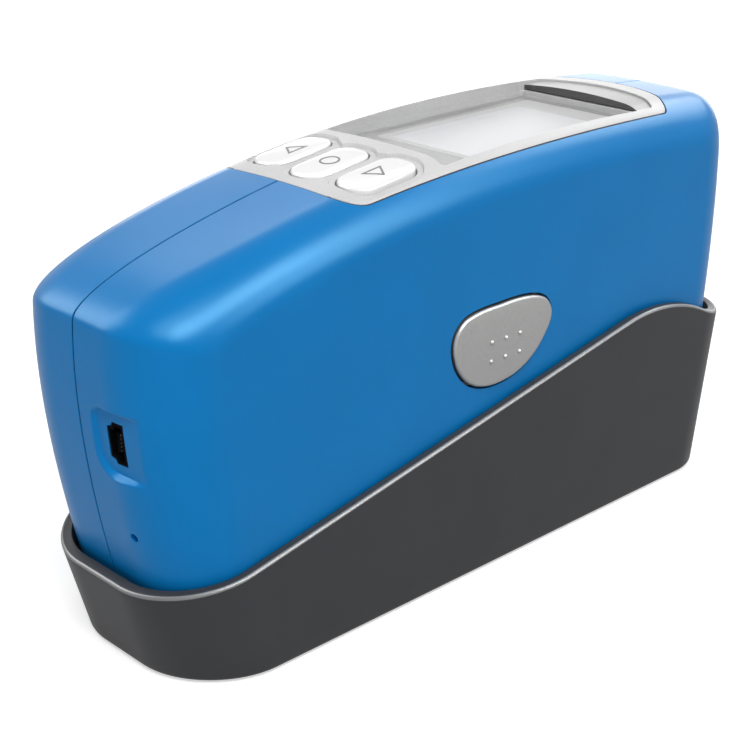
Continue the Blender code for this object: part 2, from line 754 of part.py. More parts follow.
def button_outline(grow=0.0, count=5):
    """The side button: an egg with a broad top, in X and Z about the casing's middle."""
    knots = [(-0.464, -0.116), (-0.386, 0.433), (-0.064, 0.488), (0.471, 0.311), (0.454, -0.055),
             (-0.057, -0.512)]
    controls = [(-0.557, 0.268), (-0.286, 0.5), (0.386, 0.524), (0.543, 0.146), (0.286, -0.506),
                (-0.35, -0.512)]
    places = [[(BUTTON_X + u * BUTTON_LENGTH, BUTTON_Z + v * BUTTON_HEIGHT) for u, v in part]
              for part in (knots + knots[:1], controls)]
    outline = arc_chain(*places, (count,) * 6)[:-1]
    return [(px + nx * grow, pz + nz * grow) for px, pz, nx, nz in outline]


def button_ring(grow, depth):
    """Loop of the button at a depth inside the casing's side."""
    return [(x, -side_plane(z) + depth, z) for x, z in button_outline(grow)]


def niche_tool():
    """Shallow niche round the socket, which runs out in the upright corner."""
    rings = []
    for k in range(9):
        t = k / 8.0
        z = PORT_Z - NICHE_LOW + NICHE_HEIGHT * t
        edge = NICHE_EDGE - 2.2 * abs(2.0 * t - 1.0) ** 4
        far = edge - NICHE_WIDE
        floor = end_plane(z) + NICHE_DEPTH
        rings.append([(floor + NICHE_SLOPE * NICHE_WIDE, far, z), (floor, edge - NICHE_DEPTH, z),
                      (floor - 6.0, edge + 3.0, z), (floor - 6.0, far, z)])
    return loft("niche", rings)


def port_outline(grow):
    """Mini socket seen from its mouth: a rectangle with two corners taken off, in Y and Z."""
    wide = PORT_WIDE / 2.0 + grow
    thick = PORT_THICK / 2.0 + grow
    cut_in = thick - PORT_SLOPE
    return [(-thick, -wide), (cut_in, -wide), (thick, -wide + PORT_SLOPE), (thick, wide - PORT_SLOPE),
            (cut_in, wide), (-thick, wide)]


def port_ring(x, grow):
    return [(x, PORT_Y + y, PORT_Z + z) for y, z in port_outline(grow)]


def build_casing(blue):
    near = build_shell("near_shell", -1, blue)
    hole = loft("button_hole", [button_ring(BUTTON_FIT, -4.0), button_ring(BUTTON_FIT, SHELL_WALL + 3.0)])
    port = loft("port_hole", [port_ring(-HALF - 5.0, FIT), port_ring(-HALF + 12.0, FIT)])
    pinhole = rod("pinhole", (-HALF - 3.0, PINHOLE_Y, PINHOLE_Z), (-HALF + 12.0, PINHOLE_Y, PINHOLE_Z),
                  PINHOLE_RADIUS, sides=10)
    cut(near, niche_tool(), hole, port, pinhole)
    build_shell("far_shell", 1, blue)


# Top panel

def window_top(x):
    return WINDOW_FRONT_Z + WINDOW_RISE * (x - WINDOW_FRONT)


def key_places():
    return {"key_down": KEY_PITCH, "key_enter": 0.0, "key_up": -KEY_PITCH}


def key_tool(y, grow, low, high):
    outline = rounded(KEY_LENGTH / 2.0 + grow, KEY_WIDTH / 2.0 + grow, KEY_ROUND + grow)
    return loft("key_hole", [[(KEY_X + px, y + py, z) for px, py in outline] for z in (low, high)])


def scallop_stations():
    """The sunk land round the keys, scalloped between them."""
    radius = KEY_ROUND + SCALLOP
    half_y = KEY_WIDTH / 2.0 + SCALLOP
    reach = KEY_LENGTH / 2.0 + SCALLOP
    outer = KEY_PITCH + half_y
    stations = []
    for k in range(25):
        y = lerp(-outer + 0.02, outer - 0.02, k / 24.0)
        nearest = min(abs(y - place) for place in key_places().values())
        over = max(nearest - (half_y - radius), 0.0)
        inset = radius - math.sqrt(max(radius ** 2 - over ** 2, 0.0))
        stations.append((y, KEY_X - reach + inset, KEY_X + reach - inset))
    return stations


def core_floor(x, _y):
    return KEY_CEILING if x < WINDOW_FRONT - DECK_STEP else WINDOW_CEILING


def trim_stations(grow, front):
    """The trim carries on from the window's long edges and ends in an arc."""
    end = (WINDOW_END + TRIM_LENGTH + grow, TRIM_ARC + grow, TRIM_CORNER + grow,
           WINDOW_HALF - WINDOW_FIT + grow)
    places = [front] + arched_places(*end, 2, 5)
    return [(x, -arched_half(x, *end), arched_half(x, *end)) for x in places]


def build_panel(silver):
    panel = roof_sheet("top_panel", panel_stations(), -PANEL_EDGE, 0.0, silver, columns=8)
    inner = LEDGE + FIT
    step = WINDOW_FRONT - DECK_STEP
    places = panel_stations(inner)
    places += [(x, -panel_half(x, inner), panel_half(x, inner)) for x in (step - FIT, step + 0.1)]
    places.sort()
    core = sheet("core", places, 6, core_floor, lambda x, y: roof(x, y) - 0.6 * PANEL_EDGE)
    join(panel, core)
    glass_seat = WINDOW_SHEET + WINDOW_FIT
    recess = sheet("window_recess", [(WINDOW_FRONT, -WINDOW_HALF, WINDOW_HALF),
                                     (WINDOW_END + TRIM_GAP, -WINDOW_HALF, WINDOW_HALF)],
                   1, lambda x, y: window_top(x) - glass_seat, lambda x, y: window_top(x) + 8.0)
    view = box("view", (WINDOW_FRONT + WINDOW_LEDGE, -WINDOW_HALF + WINDOW_LEDGE, WINDOW_CEILING - 3.0),
               (WINDOW_END - WINDOW_LEDGE, WINDOW_HALF - WINDOW_LEDGE, WINDOW_FRONT_Z + 3.0))
    trim_floor = window_top(WINDOW_END) - TRIM_ROOT
    trim_recess = sheet("trim_recess", trim_stations(FIT, WINDOW_END), 2,
                        lambda x, y: trim_floor, lambda x, y: trim_floor + 8.0)
    land = sheet("land", scallop_stations(), 4, lambda x, y: roof(x, y) - SCALLOP_DEPTH,
                 lambda x, y: roof(x, y) + 3.0, across="x")
    holes = [key_tool(y, KEY_FIT, KEY_CEILING - 3.0, KEY_CEILING + 9.0) for y in key_places().values()]
    cut(panel, recess, view, trim_recess, land, *holes)


def build_window(clear, trim_grey):
    half = WINDOW_HALF - WINDOW_FIT
    sheet("display_window", [(WINDOW_FRONT + WINDOW_FIT, -half, half), (WINDOW_END, -half, half)], 1,
          lambda x, y: window_top(x) - WINDOW_SHEET, lambda x, y: window_top(x), clear)
    floor = window_top(WINDOW_END) - TRIM_ROOT + FIT
    sheet("display_end_trim", trim_stations(0.0, WINDOW_END + TRIM_GAP + 0.1), 6,
          lambda x, y: floor, lambda x, y: roof(x, y) - TRIM_DEPTH, trim_grey)


def build_keys(white, rubber):
    half_x = KEY_LENGTH / 2.0
    half_y = KEY_WIDTH / 2.0
    flange_top = KEY_CEILING - FIT
    flange_low = flange_top - KEY_FLANGE
    for name, y in key_places().items():
        body = rounded(half_x, half_y, KEY_ROUND)
        flange = rounded(half_x + KEY_FLANGE, half_y, KEY_ROUND)
        rings = [[(KEY_X + px, y + py, flange_low) for px, py in flange],
                 [(KEY_X + px, y + py, flange_top) for px, py in flange],
                 [(KEY_X + px, y + py, flange_top) for px, py in body]]
        for inset, sunk in ((0.0, 0.5), (0.15, 0.15), (0.5, 0.0)):
            outline = rounded(half_x - inset, half_y - inset, KEY_ROUND - inset)
            rings.append([(KEY_X + px, y + py, roof(KEY_X + px, y + py) + KEY_PROUD - sunk)
                          for px, py in outline])
        top = rounded(half_x * 0.6, half_y * 0.6, KEY_ROUND * 0.6)
        rings.append([(KEY_X + px, y + py, roof(KEY_X + px, y + py) + KEY_PROUD + 0.1)
                      for px, py in top])
        set_origin(loft(name, rings, white), (KEY_X, y, flange_top))
    pad_top = flange_low - KEY_TRAVEL - FIT
    reach = half_x + KEY_FLANGE
    box("key_pad", (KEY_X - reach, -KEY_PITCH - half_y, BOARD_TOP + FIT),
        (KEY_X + reach, KEY_PITCH + half_y, pad_top), rubber)


# Side button and its switch

def build_button(silver, dark, board_green):
    flange_out = SHELL_WALL + FIT
    rings = [button_ring(-2.6 * BUTTON_BEVEL, -BUTTON_PROUD - 0.1),
             button_ring(-BUTTON_BEVEL, -BUTTON_PROUD),
             button_ring(-0.3 * BUTTON_BEVEL, -BUTTON_PROUD + 0.3 * BUTTON_BEVEL),
             button_ring(0.0, -BUTTON_PROUD + BUTTON_BEVEL),
             button_ring(0.0, flange_out),
             button_ring(BUTTON_FLANGE + BUTTON_FIT, flange_out),
             button_ring(BUTTON_FLANGE + BUTTON_FIT, flange_out + BUTTON_FLANGE)]
    set_origin(loft("side_button", rings, silver), (BUTTON_X, -side_plane(BUTTON_Z), BUTTON_Z))
    back = -side_plane(BUTTON_Z - 3.0 * SWITCH_HALF) + flange_out + BUTTON_FLANGE
    front = back + BUTTON_TRAVEL + FIT
    board_face = -CRADLE_OUT - FIT - BOARD_THICK
    box("side_switch", (BUTTON_X - SWITCH_HALF, front, BUTTON_Z - SWITCH_HALF),
        (BUTTON_X + SWITCH_HALF, board_face - FIT, BUTTON_Z + SWITCH_HALF), dark)
    box("side_board", (BUTTON_X - SIDE_BOARD_HALF, board_face, BUTTON_Z - SIDE_BOARD_LOW),
        (BUTTON_X + SIDE_BOARD_HALF, board_face + BOARD_THICK, BUTTON_Z + SIDE_BOARD_HIGH), board_green)


# Socket end

def build_socket(metal, dark, board_green):
    mouth = end_plane(PORT_Z) + NICHE_DEPTH + NICHE_SLOPE * (NICHE_EDGE - PORT_Y) + PORT_BACK
    back = mouth + PORT_DEPTH
    floor = back - 2.0 * PORT_WALL
    outer = loft("usb_shell", [port_ring(mouth, 0.0), port_ring(back, 0.0)], metal)
    cut(outer, loft("hollow", [port_ring(mouth - 3.0, -PORT_WALL), port_ring(floor, -PORT_WALL)]))
    tongue = 0.5 * PORT_WIDE - PORT_WALL - PORT_SLOPE - 0.15
    box("usb_tongue", (mouth + 1.0, PORT_Y - 0.1, PORT_Z - tongue),
        (floor - FIT, PORT_Y + 0.9, PORT_Z + tongue), dark)
    board_y = PORT_Y + PORT_THICK / 2.0 + FIT
    left = mouth + SHELL_WALL + 2.4
    box("usb_board", (left, board_y, PINHOLE_Z - USB_BOARD_LOW),
        (left + USB_BOARD_LENGTH, board_y + BOARD_THICK, PORT_Z + USB_BOARD_HIGH), board_green)
    half = RESET_SIZE / 2.0
    box("reset_switch", (left, PINHOLE_Y - half, PINHOLE_Z - half),
        (left + RESET_SIZE, board_y - FIT, PINHOLE_Z + half), dark)


# Measuring head

def ray(angle, side, distance):
    """Point on a measuring axis that leaves the sample's middle at an angle to the upright."""
    turn = math.radians(angle) * side
    return (distance * math.sin(turn), 0.0, CASE_FOOT + distance * math.cos(turn))


def base_ring(z, inset):
    """Loop inside the shells' open foot."""
    inset += SHELL_WALL + FIT
    usb = USB_WALL[0][0] + inset
    far = FAR_WALL[2][0] - inset
    outline = rounded((far - usb) / 2.0, side_plane(CASE_FOOT) - inset, USB_RADIUS - inset)
    return [(x + (far + usb) / 2.0, y, z) for x, y in outline]


def screw_places():
    return [(sx * SCREW_X, sy * SCREW_Y) for sx in (-1, 1) for sy in (-1, 1)]


def build_base(black, steel):
    low, top = BASE_LOW, BASE_LOW + BASE_THICK
    seat = 0.65 * BASE_THICK
    plate = loft("base_plate", [base_ring(low, 0.0), base_ring(top, 0.0)], black)
    tools = [box("aperture", (-APERTURE_HALF, -APERTURE_SIDE, low - 1.0),
                 (APERTURE_HALF, APERTURE_SIDE, top + 1.0))]
    for x, y in screw_places():
        tools.append(rod("screw_hole", (x, y, low - 1.0), (x, y, top + 1.0), SCREW_RADIUS + FIT, sides=12))
        tools.append(rod("head_seat", (x, y, low - 1.0), (x, y, low + seat),
                         2.0 * SCREW_RADIUS + FIT, sides=12))
    cut(plate, *tools)
    head = low + seat - FIT
    for k, (x, y) in enumerate(screw_places()):
        rings = []
        for level, radius in ((low + 0.1, 1.9), (head, 1.9), (head, 1.0), (low + SCREW_LENGTH, 1.0)):
            rings.append([(x + radius * SCREW_RADIUS * math.cos(math.radians(turn)),
                           y + radius * SCREW_RADIUS * math.sin(math.radians(turn)), level)
                          for turn in range(0, 360, 30)])
        loft(f"base_screw_{k + 1}", rings, steel)


BLOCK_OUTLINE = ((0.0, BLOCK_TOP), (BLOCK_HALF - BLOCK_TOP_IN, BLOCK_TOP),
                 (BLOCK_HALF - BLOCK_KNEE_IN, BLOCK_TOP - BLOCK_KNEE_DROP),
                 (BLOCK_HALF, BLOCK_LOW + BLOCK_TOE), (BLOCK_HALF, BLOCK_LOW))


def mouth(angle):
    """How far along a measuring axis its bore leaves the optical block."""
    way = (math.sin(math.radians(angle)), math.cos(math.radians(angle)))
    reaches = []
    for a, b in zip(BLOCK_OUTLINE, BLOCK_OUTLINE[1:]):
        x, z = meet((0.0, CASE_FOOT), (way[0], CASE_FOOT + way[1]), a, b)
        reach = x * way[0] + (z - CASE_FOOT) * way[1]
        if reach > 0.0:
            reaches.append(reach)
    return min(reaches)


def build_block(black):
    outline = list(BLOCK_OUTLINE[1:])
    outline += [(-x, z) for x, z in reversed(outline)]
    block = loft("optical_block", [[(x, y, z) for x, z in outline]
                                   for y in (-BLOCK_SIDE, BLOCK_SIDE)], black)
    ears = [box("ear", (sx * SCREW_X - EAR, -SCREW_Y - EAR, BLOCK_LOW),
                (sx * SCREW_X + EAR, SCREW_Y + EAR, BLOCK_LOW + EAR)) for sx in (-1, 1)]
    join(block, *ears)
    tools = []
    for angle, bore in zip(ANGLES, BORES):
        for side in (-1, 1):
            tools.append(rod("bore", ray(angle, side, 2.0), ray(angle, side, mouth(angle) + 30.0), bore))
    for x, y in screw_places():
        tools.append(rod("thread", (x, y, BLOCK_LOW - 1.0), (x, y, BASE_LOW + SCREW_LENGTH + 1.0),
                         SCREW_RADIUS + FIT, sides=12))
    cut(block, *tools)


def build_optics(glass, lamp_white, dark):
    for angle, bore, sunk, gap in zip(ANGLES, BORES, LAMP_IN, LENS_GAP):
        radius = bore - FIT
        lamp = mouth(angle) - sunk - LAMP_LENGTH
        lens = lamp - gap - LENS_THICK
        label = f"{angle:.0f}"
        for side, name in ((-1, "source"), (1, "receiver")):
            rod(f"{name}_lens_{label}", ray(angle, side, lens), ray(angle, side, lens + LENS_THICK),
                radius, glass)
        rod(f"lamp_{label}", ray(angle, -1, lamp), ray(angle, -1, lamp + LAMP_LENGTH), radius, lamp_white)
        rod(f"detector_{label}", ray(angle, 1, lamp), ray(angle, 1, lamp + LAMP_LENGTH), radius, dark)


# Boards, cell and the frame that carries them

def build_electronics(board_green, dark, pale, sleeve, frame_grey):
    board_low = BOARD_TOP - BOARD_THICK
    start = PANEL_FRONT + BOARD_FROM_FRONT
    end = PANEL_TIP - BOARD_FROM_TIP
    box("main_board", (start, -BOARD_HALF_WIDTH, board_low), (end, BOARD_HALF_WIDTH, BOARD_TOP),
        board_green)
    glass_top = WINDOW_CEILING - FIT
    glass_low = glass_top - LCD_THICK
    glass_start = WINDOW_FRONT + 2.0 * LCD_BORDER
    glass_end = WINDOW_END - 2.0 * LCD_BORDER
    box("lcd_glass", (glass_start, -LCD_HALF, glass_low), (glass_end, LCD_HALF, glass_top), pale)
    box("lcd_module", (glass_start - LCD_BORDER, -LCD_HALF - 0.6 * LCD_BORDER, BOARD_TOP + FIT),
        (glass_end + LCD_BORDER, LCD_HALF + 0.6 * LCD_BORDER, glass_low - FIT), dark)
    low = BLOCK_TOP + FIT
    wall_y = CRADLE_OUT - 0.4
    frame = box("inner_frame", (start, -BOARD_HALF_WIDTH, SHELF_LOW), (end, BOARD_HALF_WIDTH, SHELF_TOP),
                frame_grey)
    cell_end = CELL_START + CELL_LENGTH
    wall = box("wall", (CELL_START - CRADLE_THICK, wall_y, low),
               (cell_end + 30.0, wall_y + 2.0, SHELF_LOW + 0.5))
    saddles = [box("saddle", (x, -CRADLE_OUT, low), (x + CRADLE_THICK, wall_y + 0.2, CELL_Z))
               for x in (CELL_START + 2.0 * CRADLE_THICK, BUTTON_X - CRADLE_THICK / 2.0)]
    join(frame, wall, *saddles)
    cut(frame, rod("cell_seat", (CELL_START - 6.0, 0.0, CELL_Z), (cell_end + 20.0, 0.0, CELL_Z),
                   CELL_RADIUS + FIT, sides=24))
    rod("battery_cell", (CELL_START, 0.0, CELL_Z), (cell_end, 0.0, CELL_Z), CELL_RADIUS, sleeve, sides=24)


def main():
    for obj in list(bpy.data.objects):
        bpy.data.objects.remove(obj)
    blue = material("satin blue plastic", (0.015, 0.16, 0.46), 0.38)
    holder_grey = material("charcoal plastic", (0.055, 0.057, 0.06), 0.55)
    frame_grey = material("grey plastic", (0.25, 0.25, 0.26), 0.6)
    silver = material("silver paint", (0.75, 0.75, 0.76), 0.35, 0.3)
    button_silver = material("satin silver", (0.42, 0.42, 0.42), 0.35, 0.6)
    trim_grey = material("pale grey", (0.6, 0.6, 0.6), 0.5)
    white = material("white gloss plastic", (0.85, 0.85, 0.85), 0.15)
    clear = material("display window", (0.55, 0.56, 0.57), 0.08)
    pale = material("display cell", (0.72, 0.74, 0.77), 0.2)
    rubber = material("rubber", (0.04, 0.04, 0.04), 0.85)
    black = material("black anodised", (0.02, 0.02, 0.02), 0.45, 0.4)
    dark = material("black plastic", (0.02, 0.02, 0.02), 0.5)
    black_glass = material("black glass", (0.005, 0.005, 0.005), 0.03)
    lens_glass = material("lens glass", (0.8, 0.85, 0.9), 0.05)
    board_green = material("board green", (0.02, 0.17, 0.07), 0.5)
    sleeve = material("cell sleeve", (0.1, 0.25, 0.6), 0.4)
    steel = material("steel", (0.55, 0.55, 0.56), 0.3, 1.0)
    build_holder(holder_grey)
    build_holder_pads(rubber)
    build_tile(frame_grey, black_glass)
    gather("holder", (0.0, 0.0, 0.0))
    build_casing(blue)
    build_panel(silver)
    build_window(clear, trim_grey)
    build_keys(white, rubber)
    build_button(button_silver, dark, board_green)
    build_socket(steel, dark, board_green)
    build_base(black, steel)
    build_block(black)
    build_optics(lens_glass, white, dark)
    build_electronics(board_green, dark, pale, sleeve, frame_grey)
    gather("meter", (-MIDDLE, 0.0, CASE_FOOT))


main()
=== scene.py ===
# %% [markdown]
# # A gloss meter resting in its calibration holder
#
# A gloss meter is a hand-held instrument. It shines a lamp on a surface at a set angle and measures
# what comes back at the same angle. This one is a tall moulded casing in satin blue with a silver
# key panel, and it stands in a charcoal cup that keeps a reference tile under its aperture.
#
# The mechanical model is already packed as a fixed frame. This lesson loads it and dresses it: each
# visible piece is made again with finer curves and real edges, in the place of the solid it stands
# for, and each hidden solid gets a finish of its own.

import math

import bmesh
import bpy
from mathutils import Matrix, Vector


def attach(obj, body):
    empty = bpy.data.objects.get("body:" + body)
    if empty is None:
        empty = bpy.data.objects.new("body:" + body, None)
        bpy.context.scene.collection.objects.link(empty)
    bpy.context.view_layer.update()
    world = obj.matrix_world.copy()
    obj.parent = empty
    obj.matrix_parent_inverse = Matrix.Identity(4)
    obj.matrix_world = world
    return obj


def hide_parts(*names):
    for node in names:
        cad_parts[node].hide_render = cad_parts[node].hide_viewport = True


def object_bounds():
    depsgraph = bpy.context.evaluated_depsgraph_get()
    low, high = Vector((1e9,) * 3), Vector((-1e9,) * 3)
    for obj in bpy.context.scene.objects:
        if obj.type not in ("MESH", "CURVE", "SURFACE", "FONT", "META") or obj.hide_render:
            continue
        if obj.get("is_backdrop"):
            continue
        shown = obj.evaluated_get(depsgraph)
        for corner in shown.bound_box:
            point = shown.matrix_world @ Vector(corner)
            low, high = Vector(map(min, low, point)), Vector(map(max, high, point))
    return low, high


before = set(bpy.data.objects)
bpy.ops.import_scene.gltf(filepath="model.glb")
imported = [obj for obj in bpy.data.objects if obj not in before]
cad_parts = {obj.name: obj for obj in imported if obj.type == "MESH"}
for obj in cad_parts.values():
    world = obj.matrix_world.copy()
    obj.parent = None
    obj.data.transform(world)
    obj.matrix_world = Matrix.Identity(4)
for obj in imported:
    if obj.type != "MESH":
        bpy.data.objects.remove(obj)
box_of_solids = [list(corner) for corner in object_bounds()]

# %% [markdown]
# ## Sizes
#
# The lesson works in millimetres, with X measured from the casing's middle, as a drawing of the
# casing would. Front means towards the socket's end, and far means towards the display's end. One
# function turns the drawing's millimetres into the frame's metres. The values below repeat the ones
# that the solids were made from, so that each finer piece fits the solid it replaces. A few pieces,
# such as the key row and the window, stand a millimetre or two off their solids, as the photograph
# shows them.

# %% Sizes of the casing
MM = 0.001
MIDDLE = 0.7             # the casing's middle lies this far towards -X from the frame's origin
HALF = 80.0              # half the casing's length
SIDE = 22.5              # half its width
CASE_FOOT = 4.0          # height of its foot in the cup
DECK_HEIGHT = 81.6       # from there to the roof's far end
ROOF_FAR = CASE_FOOT + DECK_HEIGHT
ROOF_FRONT = ROOF_FAR - 5.6
FRONT_RADIUS, FAR_RADIUS, TOP_RADIUS = 14.6, 12.0, 9.5
ROUND_LEFT = 3.1         # size of the corners that the innermost loop keeps
CROWN, LIFT = 1.0, 0.45  # how far the roof falls towards its sides, and how far its middle rises
CROWN_FROM = 26.0        # height over which both fade in
DRAFT = 0.0146           # lean of the sides
DRAFT_LEVEL = ROOF_FAR - 10.6    # height at which a side is SIDE from the middle
SHELL_WALL = 2.4
SEAM, FIT = 0.3, 0.3     # width of the seam, and the gap between pieces that touch

# Side view: where each arc starts, where its tangents meet and where it ends, as X and Z
FRONT_WALL = ((-HALF + 8.7, CASE_FOOT), (-HALF - 1.6, CASE_FOOT + 0.47 * DECK_HEIGHT),
              (-HALF + 0.2, ROOF_FRONT - 13.1))
ROOF = ((-HALF + 34.0, ROOF_FRONT), (-HALF + 83.0, ROOF_FAR + 5.4), (HALF - 10.0, ROOF_FAR))
FAR_WALL = ((HALF - 1.2, ROOF_FAR - 12.6), (HALF + 0.4, CASE_FOOT + 0.5 * DECK_HEIGHT),
            (HALF - 6.0, CASE_FOOT))


def place(x, y, z):
    """A point of the drawing, in millimetres, as a point of the frame."""
    return ((x - MIDDLE) * MM, y * MM, z * MM)


def lerp(a, b, t):
    return a + (b - a) * t


def ease(t):
    """Smooth step from 0 to 1."""
    t = min(max(t, 0.0), 1.0)
    return t * t * (3.0 - 2.0 * t)


# %% [markdown]
# ## Arcs
#
# The casing's side view is a chain of five parabolic arcs. Such an arc is set by its two ends and
# the point where its end tangents meet, which makes it easy to draw, to offset and to join
# smoothly: the arcs between the walls and the roof simply touch both neighbours.

# %% Arc helpers
def arc_point(arc, t):
    (ax, az), (bx, bz), (cx, cz) = arc
    first, second, third = (1.0 - t) ** 2, 2.0 * t * (1.0 - t), t * t
    return (first * ax + second * bx + third * cx, first * az + second * bz + third * cz)


def arc_way(arc, t):
    (ax, az), (bx, bz), (cx, cz) = arc
    return (lerp(bx - ax, cx - bx, t), lerp(bz - az, cz - bz, t))


def arc_share(arc, axis, value):
    """Where along an arc one coordinate, 0 for X and 1 for Z, reaches a value."""
    start, control, end = (spot[axis] for spot in arc)
    a, b, c = start - 2.0 * control + end, 2.0 * (control - start), start - value
    if abs(a) < 1e-9:
        return -c / b
    root = math.sqrt(b * b - 4.0 * a * c)
    return min((-b + root) / (2.0 * a), (-b - root) / (2.0 * a), key=lambda t: abs(t - 0.5))


def tangents_meet(a, way_a, b, way_b):
    across = way_a[0] * way_b[1] - way_a[1] * way_b[0]
    t = ((b[0] - a[0]) * way_b[1] - (b[1] - a[1]) * way_b[0]) / across
    return (a[0] + way_a[0] * t, a[1] + way_a[1] * t)


# %% [markdown]
# ## Mesh helpers
#
# Most pieces are lofts: a list of loops with the same number of points, joined by quads and closed
# at both ends. Flat pieces that follow the roof are slabs over a grid of the plan. Openings are
# carved with exact booleans, which keep the untouched faces as they were, so the smooth surfaces
# stay smooth right up to the edge of an opening.

# %% Mesh helpers
def add_object(name, data):
    """Put a mesh, light or camera into the scene as an object."""
    obj = bpy.data.objects.new(name, data)
    bpy.context.scene.collection.objects.link(obj)
    return obj


def outward(mesh):
    """Turn the faces of a closed mesh outwards."""
    work = bmesh.new()
    work.from_mesh(mesh)
    bmesh.ops.recalc_face_normals(work, faces=work.faces)
    work.to_mesh(mesh)
    work.free()


def new_object(name, points, faces, finish=None):
    """A mesh object from points of the drawing, with its faces turned outwards."""
    mesh = bpy.data.meshes.new(name)
    mesh.from_pydata([place(*point) for point in points], [], faces)
    outward(mesh)
    if finish:
        mesh.materials.append(finish)
    return add_object(name, mesh)


def loft(name, loops, finish=None):
    """Closed mesh through loops with the same number of points."""
    size = len(loops[0])
    points = [point for loop in loops for point in loop]
    faces = [tuple(range(size)), tuple(range((len(loops) - 1) * size, len(loops) * size))]
    for level in range(len(loops) - 1):
        for k in range(size):
            a, b = level * size + k, level * size + (k + 1) % size
            faces.append((a, b, b + size, a + size))
    return new_object(name, points, faces, finish)


def slab(name, stations, columns, low, high, finish=None, edge=0.0):
    """Closed slab over strips of the plan, each given as its X and its Y from and to.

    columns lists shares from 0 to 1 across a strip, and the top's border is lowered by edge.
    """
    rows = [[(x, lerp(start, end, share)) for share in columns] for x, start, end in stations]
    wide, tall = len(columns), len(rows)
    points = [(x, y, low(x, y)) for row in rows for x, y in row]
    for i, row in enumerate(rows):
        for k, (x, y) in enumerate(row):
            border = i in (0, tall - 1) or k in (0, wide - 1)
            points.append((x, y, high(x, y) - (edge if border else 0.0)))
    count = wide * tall
    faces = []
    for i in range(tall - 1):
        for k in range(wide - 1):
            a = i * wide + k
            quad = (a, a + 1, a + wide + 1, a + wide)
            faces += [quad, tuple(count + v for v in quad)]
    rim = list(range(wide)) + [i * wide + wide - 1 for i in range(1, tall)]
    rim += [(tall - 1) * wide + k for k in range(wide - 2, -1, -1)]
    rim += [i * wide for i in range(tall - 2, 0, -1)]
    for a, b in zip(rim, rim[1:] + rim[:1]):
        faces.append((a, b, b + count, a + count))
    return new_object(name, points, faces, finish)


def prism(name, outlines, finish=None):
    """Loft of plan outlines, each given with a height: a number or a function of X and Y."""
    loops = []
    for outline, height in outlines:
        loops.append([(x, y, height(x, y) if callable(height) else height) for x, y in outline])
    return loft(name, loops, finish)


def circle(count):
    """Angles of evenly spaced points on a circle."""
    return [2.0 * math.pi * k / count for k in range(count)]


def rod(name, start, end, radius):
    """Straight round rod between two points."""
    start, end = Vector(start), Vector(end)
    axis = (end - start).normalized()
    across = axis.orthogonal().normalized()
    other = axis.cross(across)
    return loft(name, [[tuple(centre + (across * math.cos(turn) + other * math.sin(turn)) * radius)
                        for turn in circle(32)] for centre in (start, end)])


# %% Outlines and steps
def rounded(half_x, half_y, radius, steps=8, x=0.0, y=0.0):
    """Rounded rectangle about a point of the plan."""
    points = []
    for sx, sy, start in ((1, 1, 0), (-1, 1, 90), (-1, -1, 180), (1, -1, 270)):
        for k in range(steps + 1):
            angle = math.radians(start + 90.0 * k / steps)
            points.append((x + sx * (half_x - radius) + radius * math.cos(angle),
                           y + sy * (half_y - radius) + radius * math.sin(angle)))
    return points


def quarter(radius, turns=(0, 15, 30, 45, 60, 75, 90)):
    """Steps over a rounded edge: how far each is set in, and how far it lies under the top."""
    leans = [math.radians(turn) for turn in turns]
    return [(radius * (1.0 - math.cos(lean)), radius * (1.0 - math.sin(lean))) for lean in leans]


def even(count):
    """Even shares from 0 to 1."""
    return [k / count for k in range(count + 1)]


def shares_with_edge(count, edge):
    """Even shares across a strip, with one more close to each edge."""
    inner = [lerp(edge, 1.0 - edge, k / count) for k in range(1, count)]
    return [0.0, edge] + inner + [1.0 - edge, 1.0]


# %% Carve and finish
def applied(obj, modifier):
    """The mesh that a modifier makes of an object. The modifier is removed."""
    graph = bpy.context.evaluated_depsgraph_get()
    graph.update()
    mesh = bpy.data.meshes.new_from_object(obj.evaluated_get(graph))
    obj.modifiers.remove(modifier)
    return mesh


def carve(body, tools, how="DIFFERENCE"):
    """Apply each tool to the body as an exact boolean, and remove the tools."""
    for tool in tools:
        modifier = body.modifiers.new("carve", "BOOLEAN")
        modifier.operation = how
        modifier.object = tool
        modifier.solver = "EXACT"
        old, body.data = body.data, applied(body, modifier)
        bpy.data.meshes.remove(old)
        bpy.data.objects.remove(tool)
    return body


def second_finish(piece, finish, chosen):
    """Give the faces that the test chosen picks out another finish."""
    piece.data.materials.append(finish)
    for face in piece.data.polygons:
        if chosen(face):
            face.material_index = 1


def finished(piece, body, slot, *nodes, sharp=30.0):
    """Shade a piece, hang it on its body's empty, and hide the solids that it stands for."""
    piece.data.shade_smooth()
    piece.data.set_sharp_from_angle(angle=math.radians(sharp))
    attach(piece, body)
    if nodes:
        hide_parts(*nodes)
    print(f"{piece.name}: {len(piece.data.polygons)} faces on {body}")
    return piece


# %% [markdown]
# ## Finishes
#
# Every finish is a small node tree on a Principled shader. Two noises in object coordinates do the
# work: a broad one shifts the colour a little, as an uneven moulding or paint does, and a fine one
# gives the grain its bump and its change of gloss. Values that are even over the whole surface,
# such as metallic or the coat, are set on the shader itself.
#
# Node trees repeat the same few lines: add a node, set some inputs, link others. One helper does
# all of it, here for shaders and later for Geometry Nodes.

# %% Node helper
def plug(tree, value, socket):
    """Give an input a value, or a link from another node's output."""
    if isinstance(value, bpy.types.NodeSocket):
        tree.links.new(value, socket)
    else:
        socket.default_value = value


def wire(tree, kind, inputs=None, **settings):
    """Add a node with its settings, and plug in each input by its name or number."""
    node = tree.nodes.new(kind)
    for setting, value in settings.items():
        setattr(node, setting, value)
    for socket, value in (inputs or {}).items():
        plug(tree, value, node.inputs[socket])
    return node


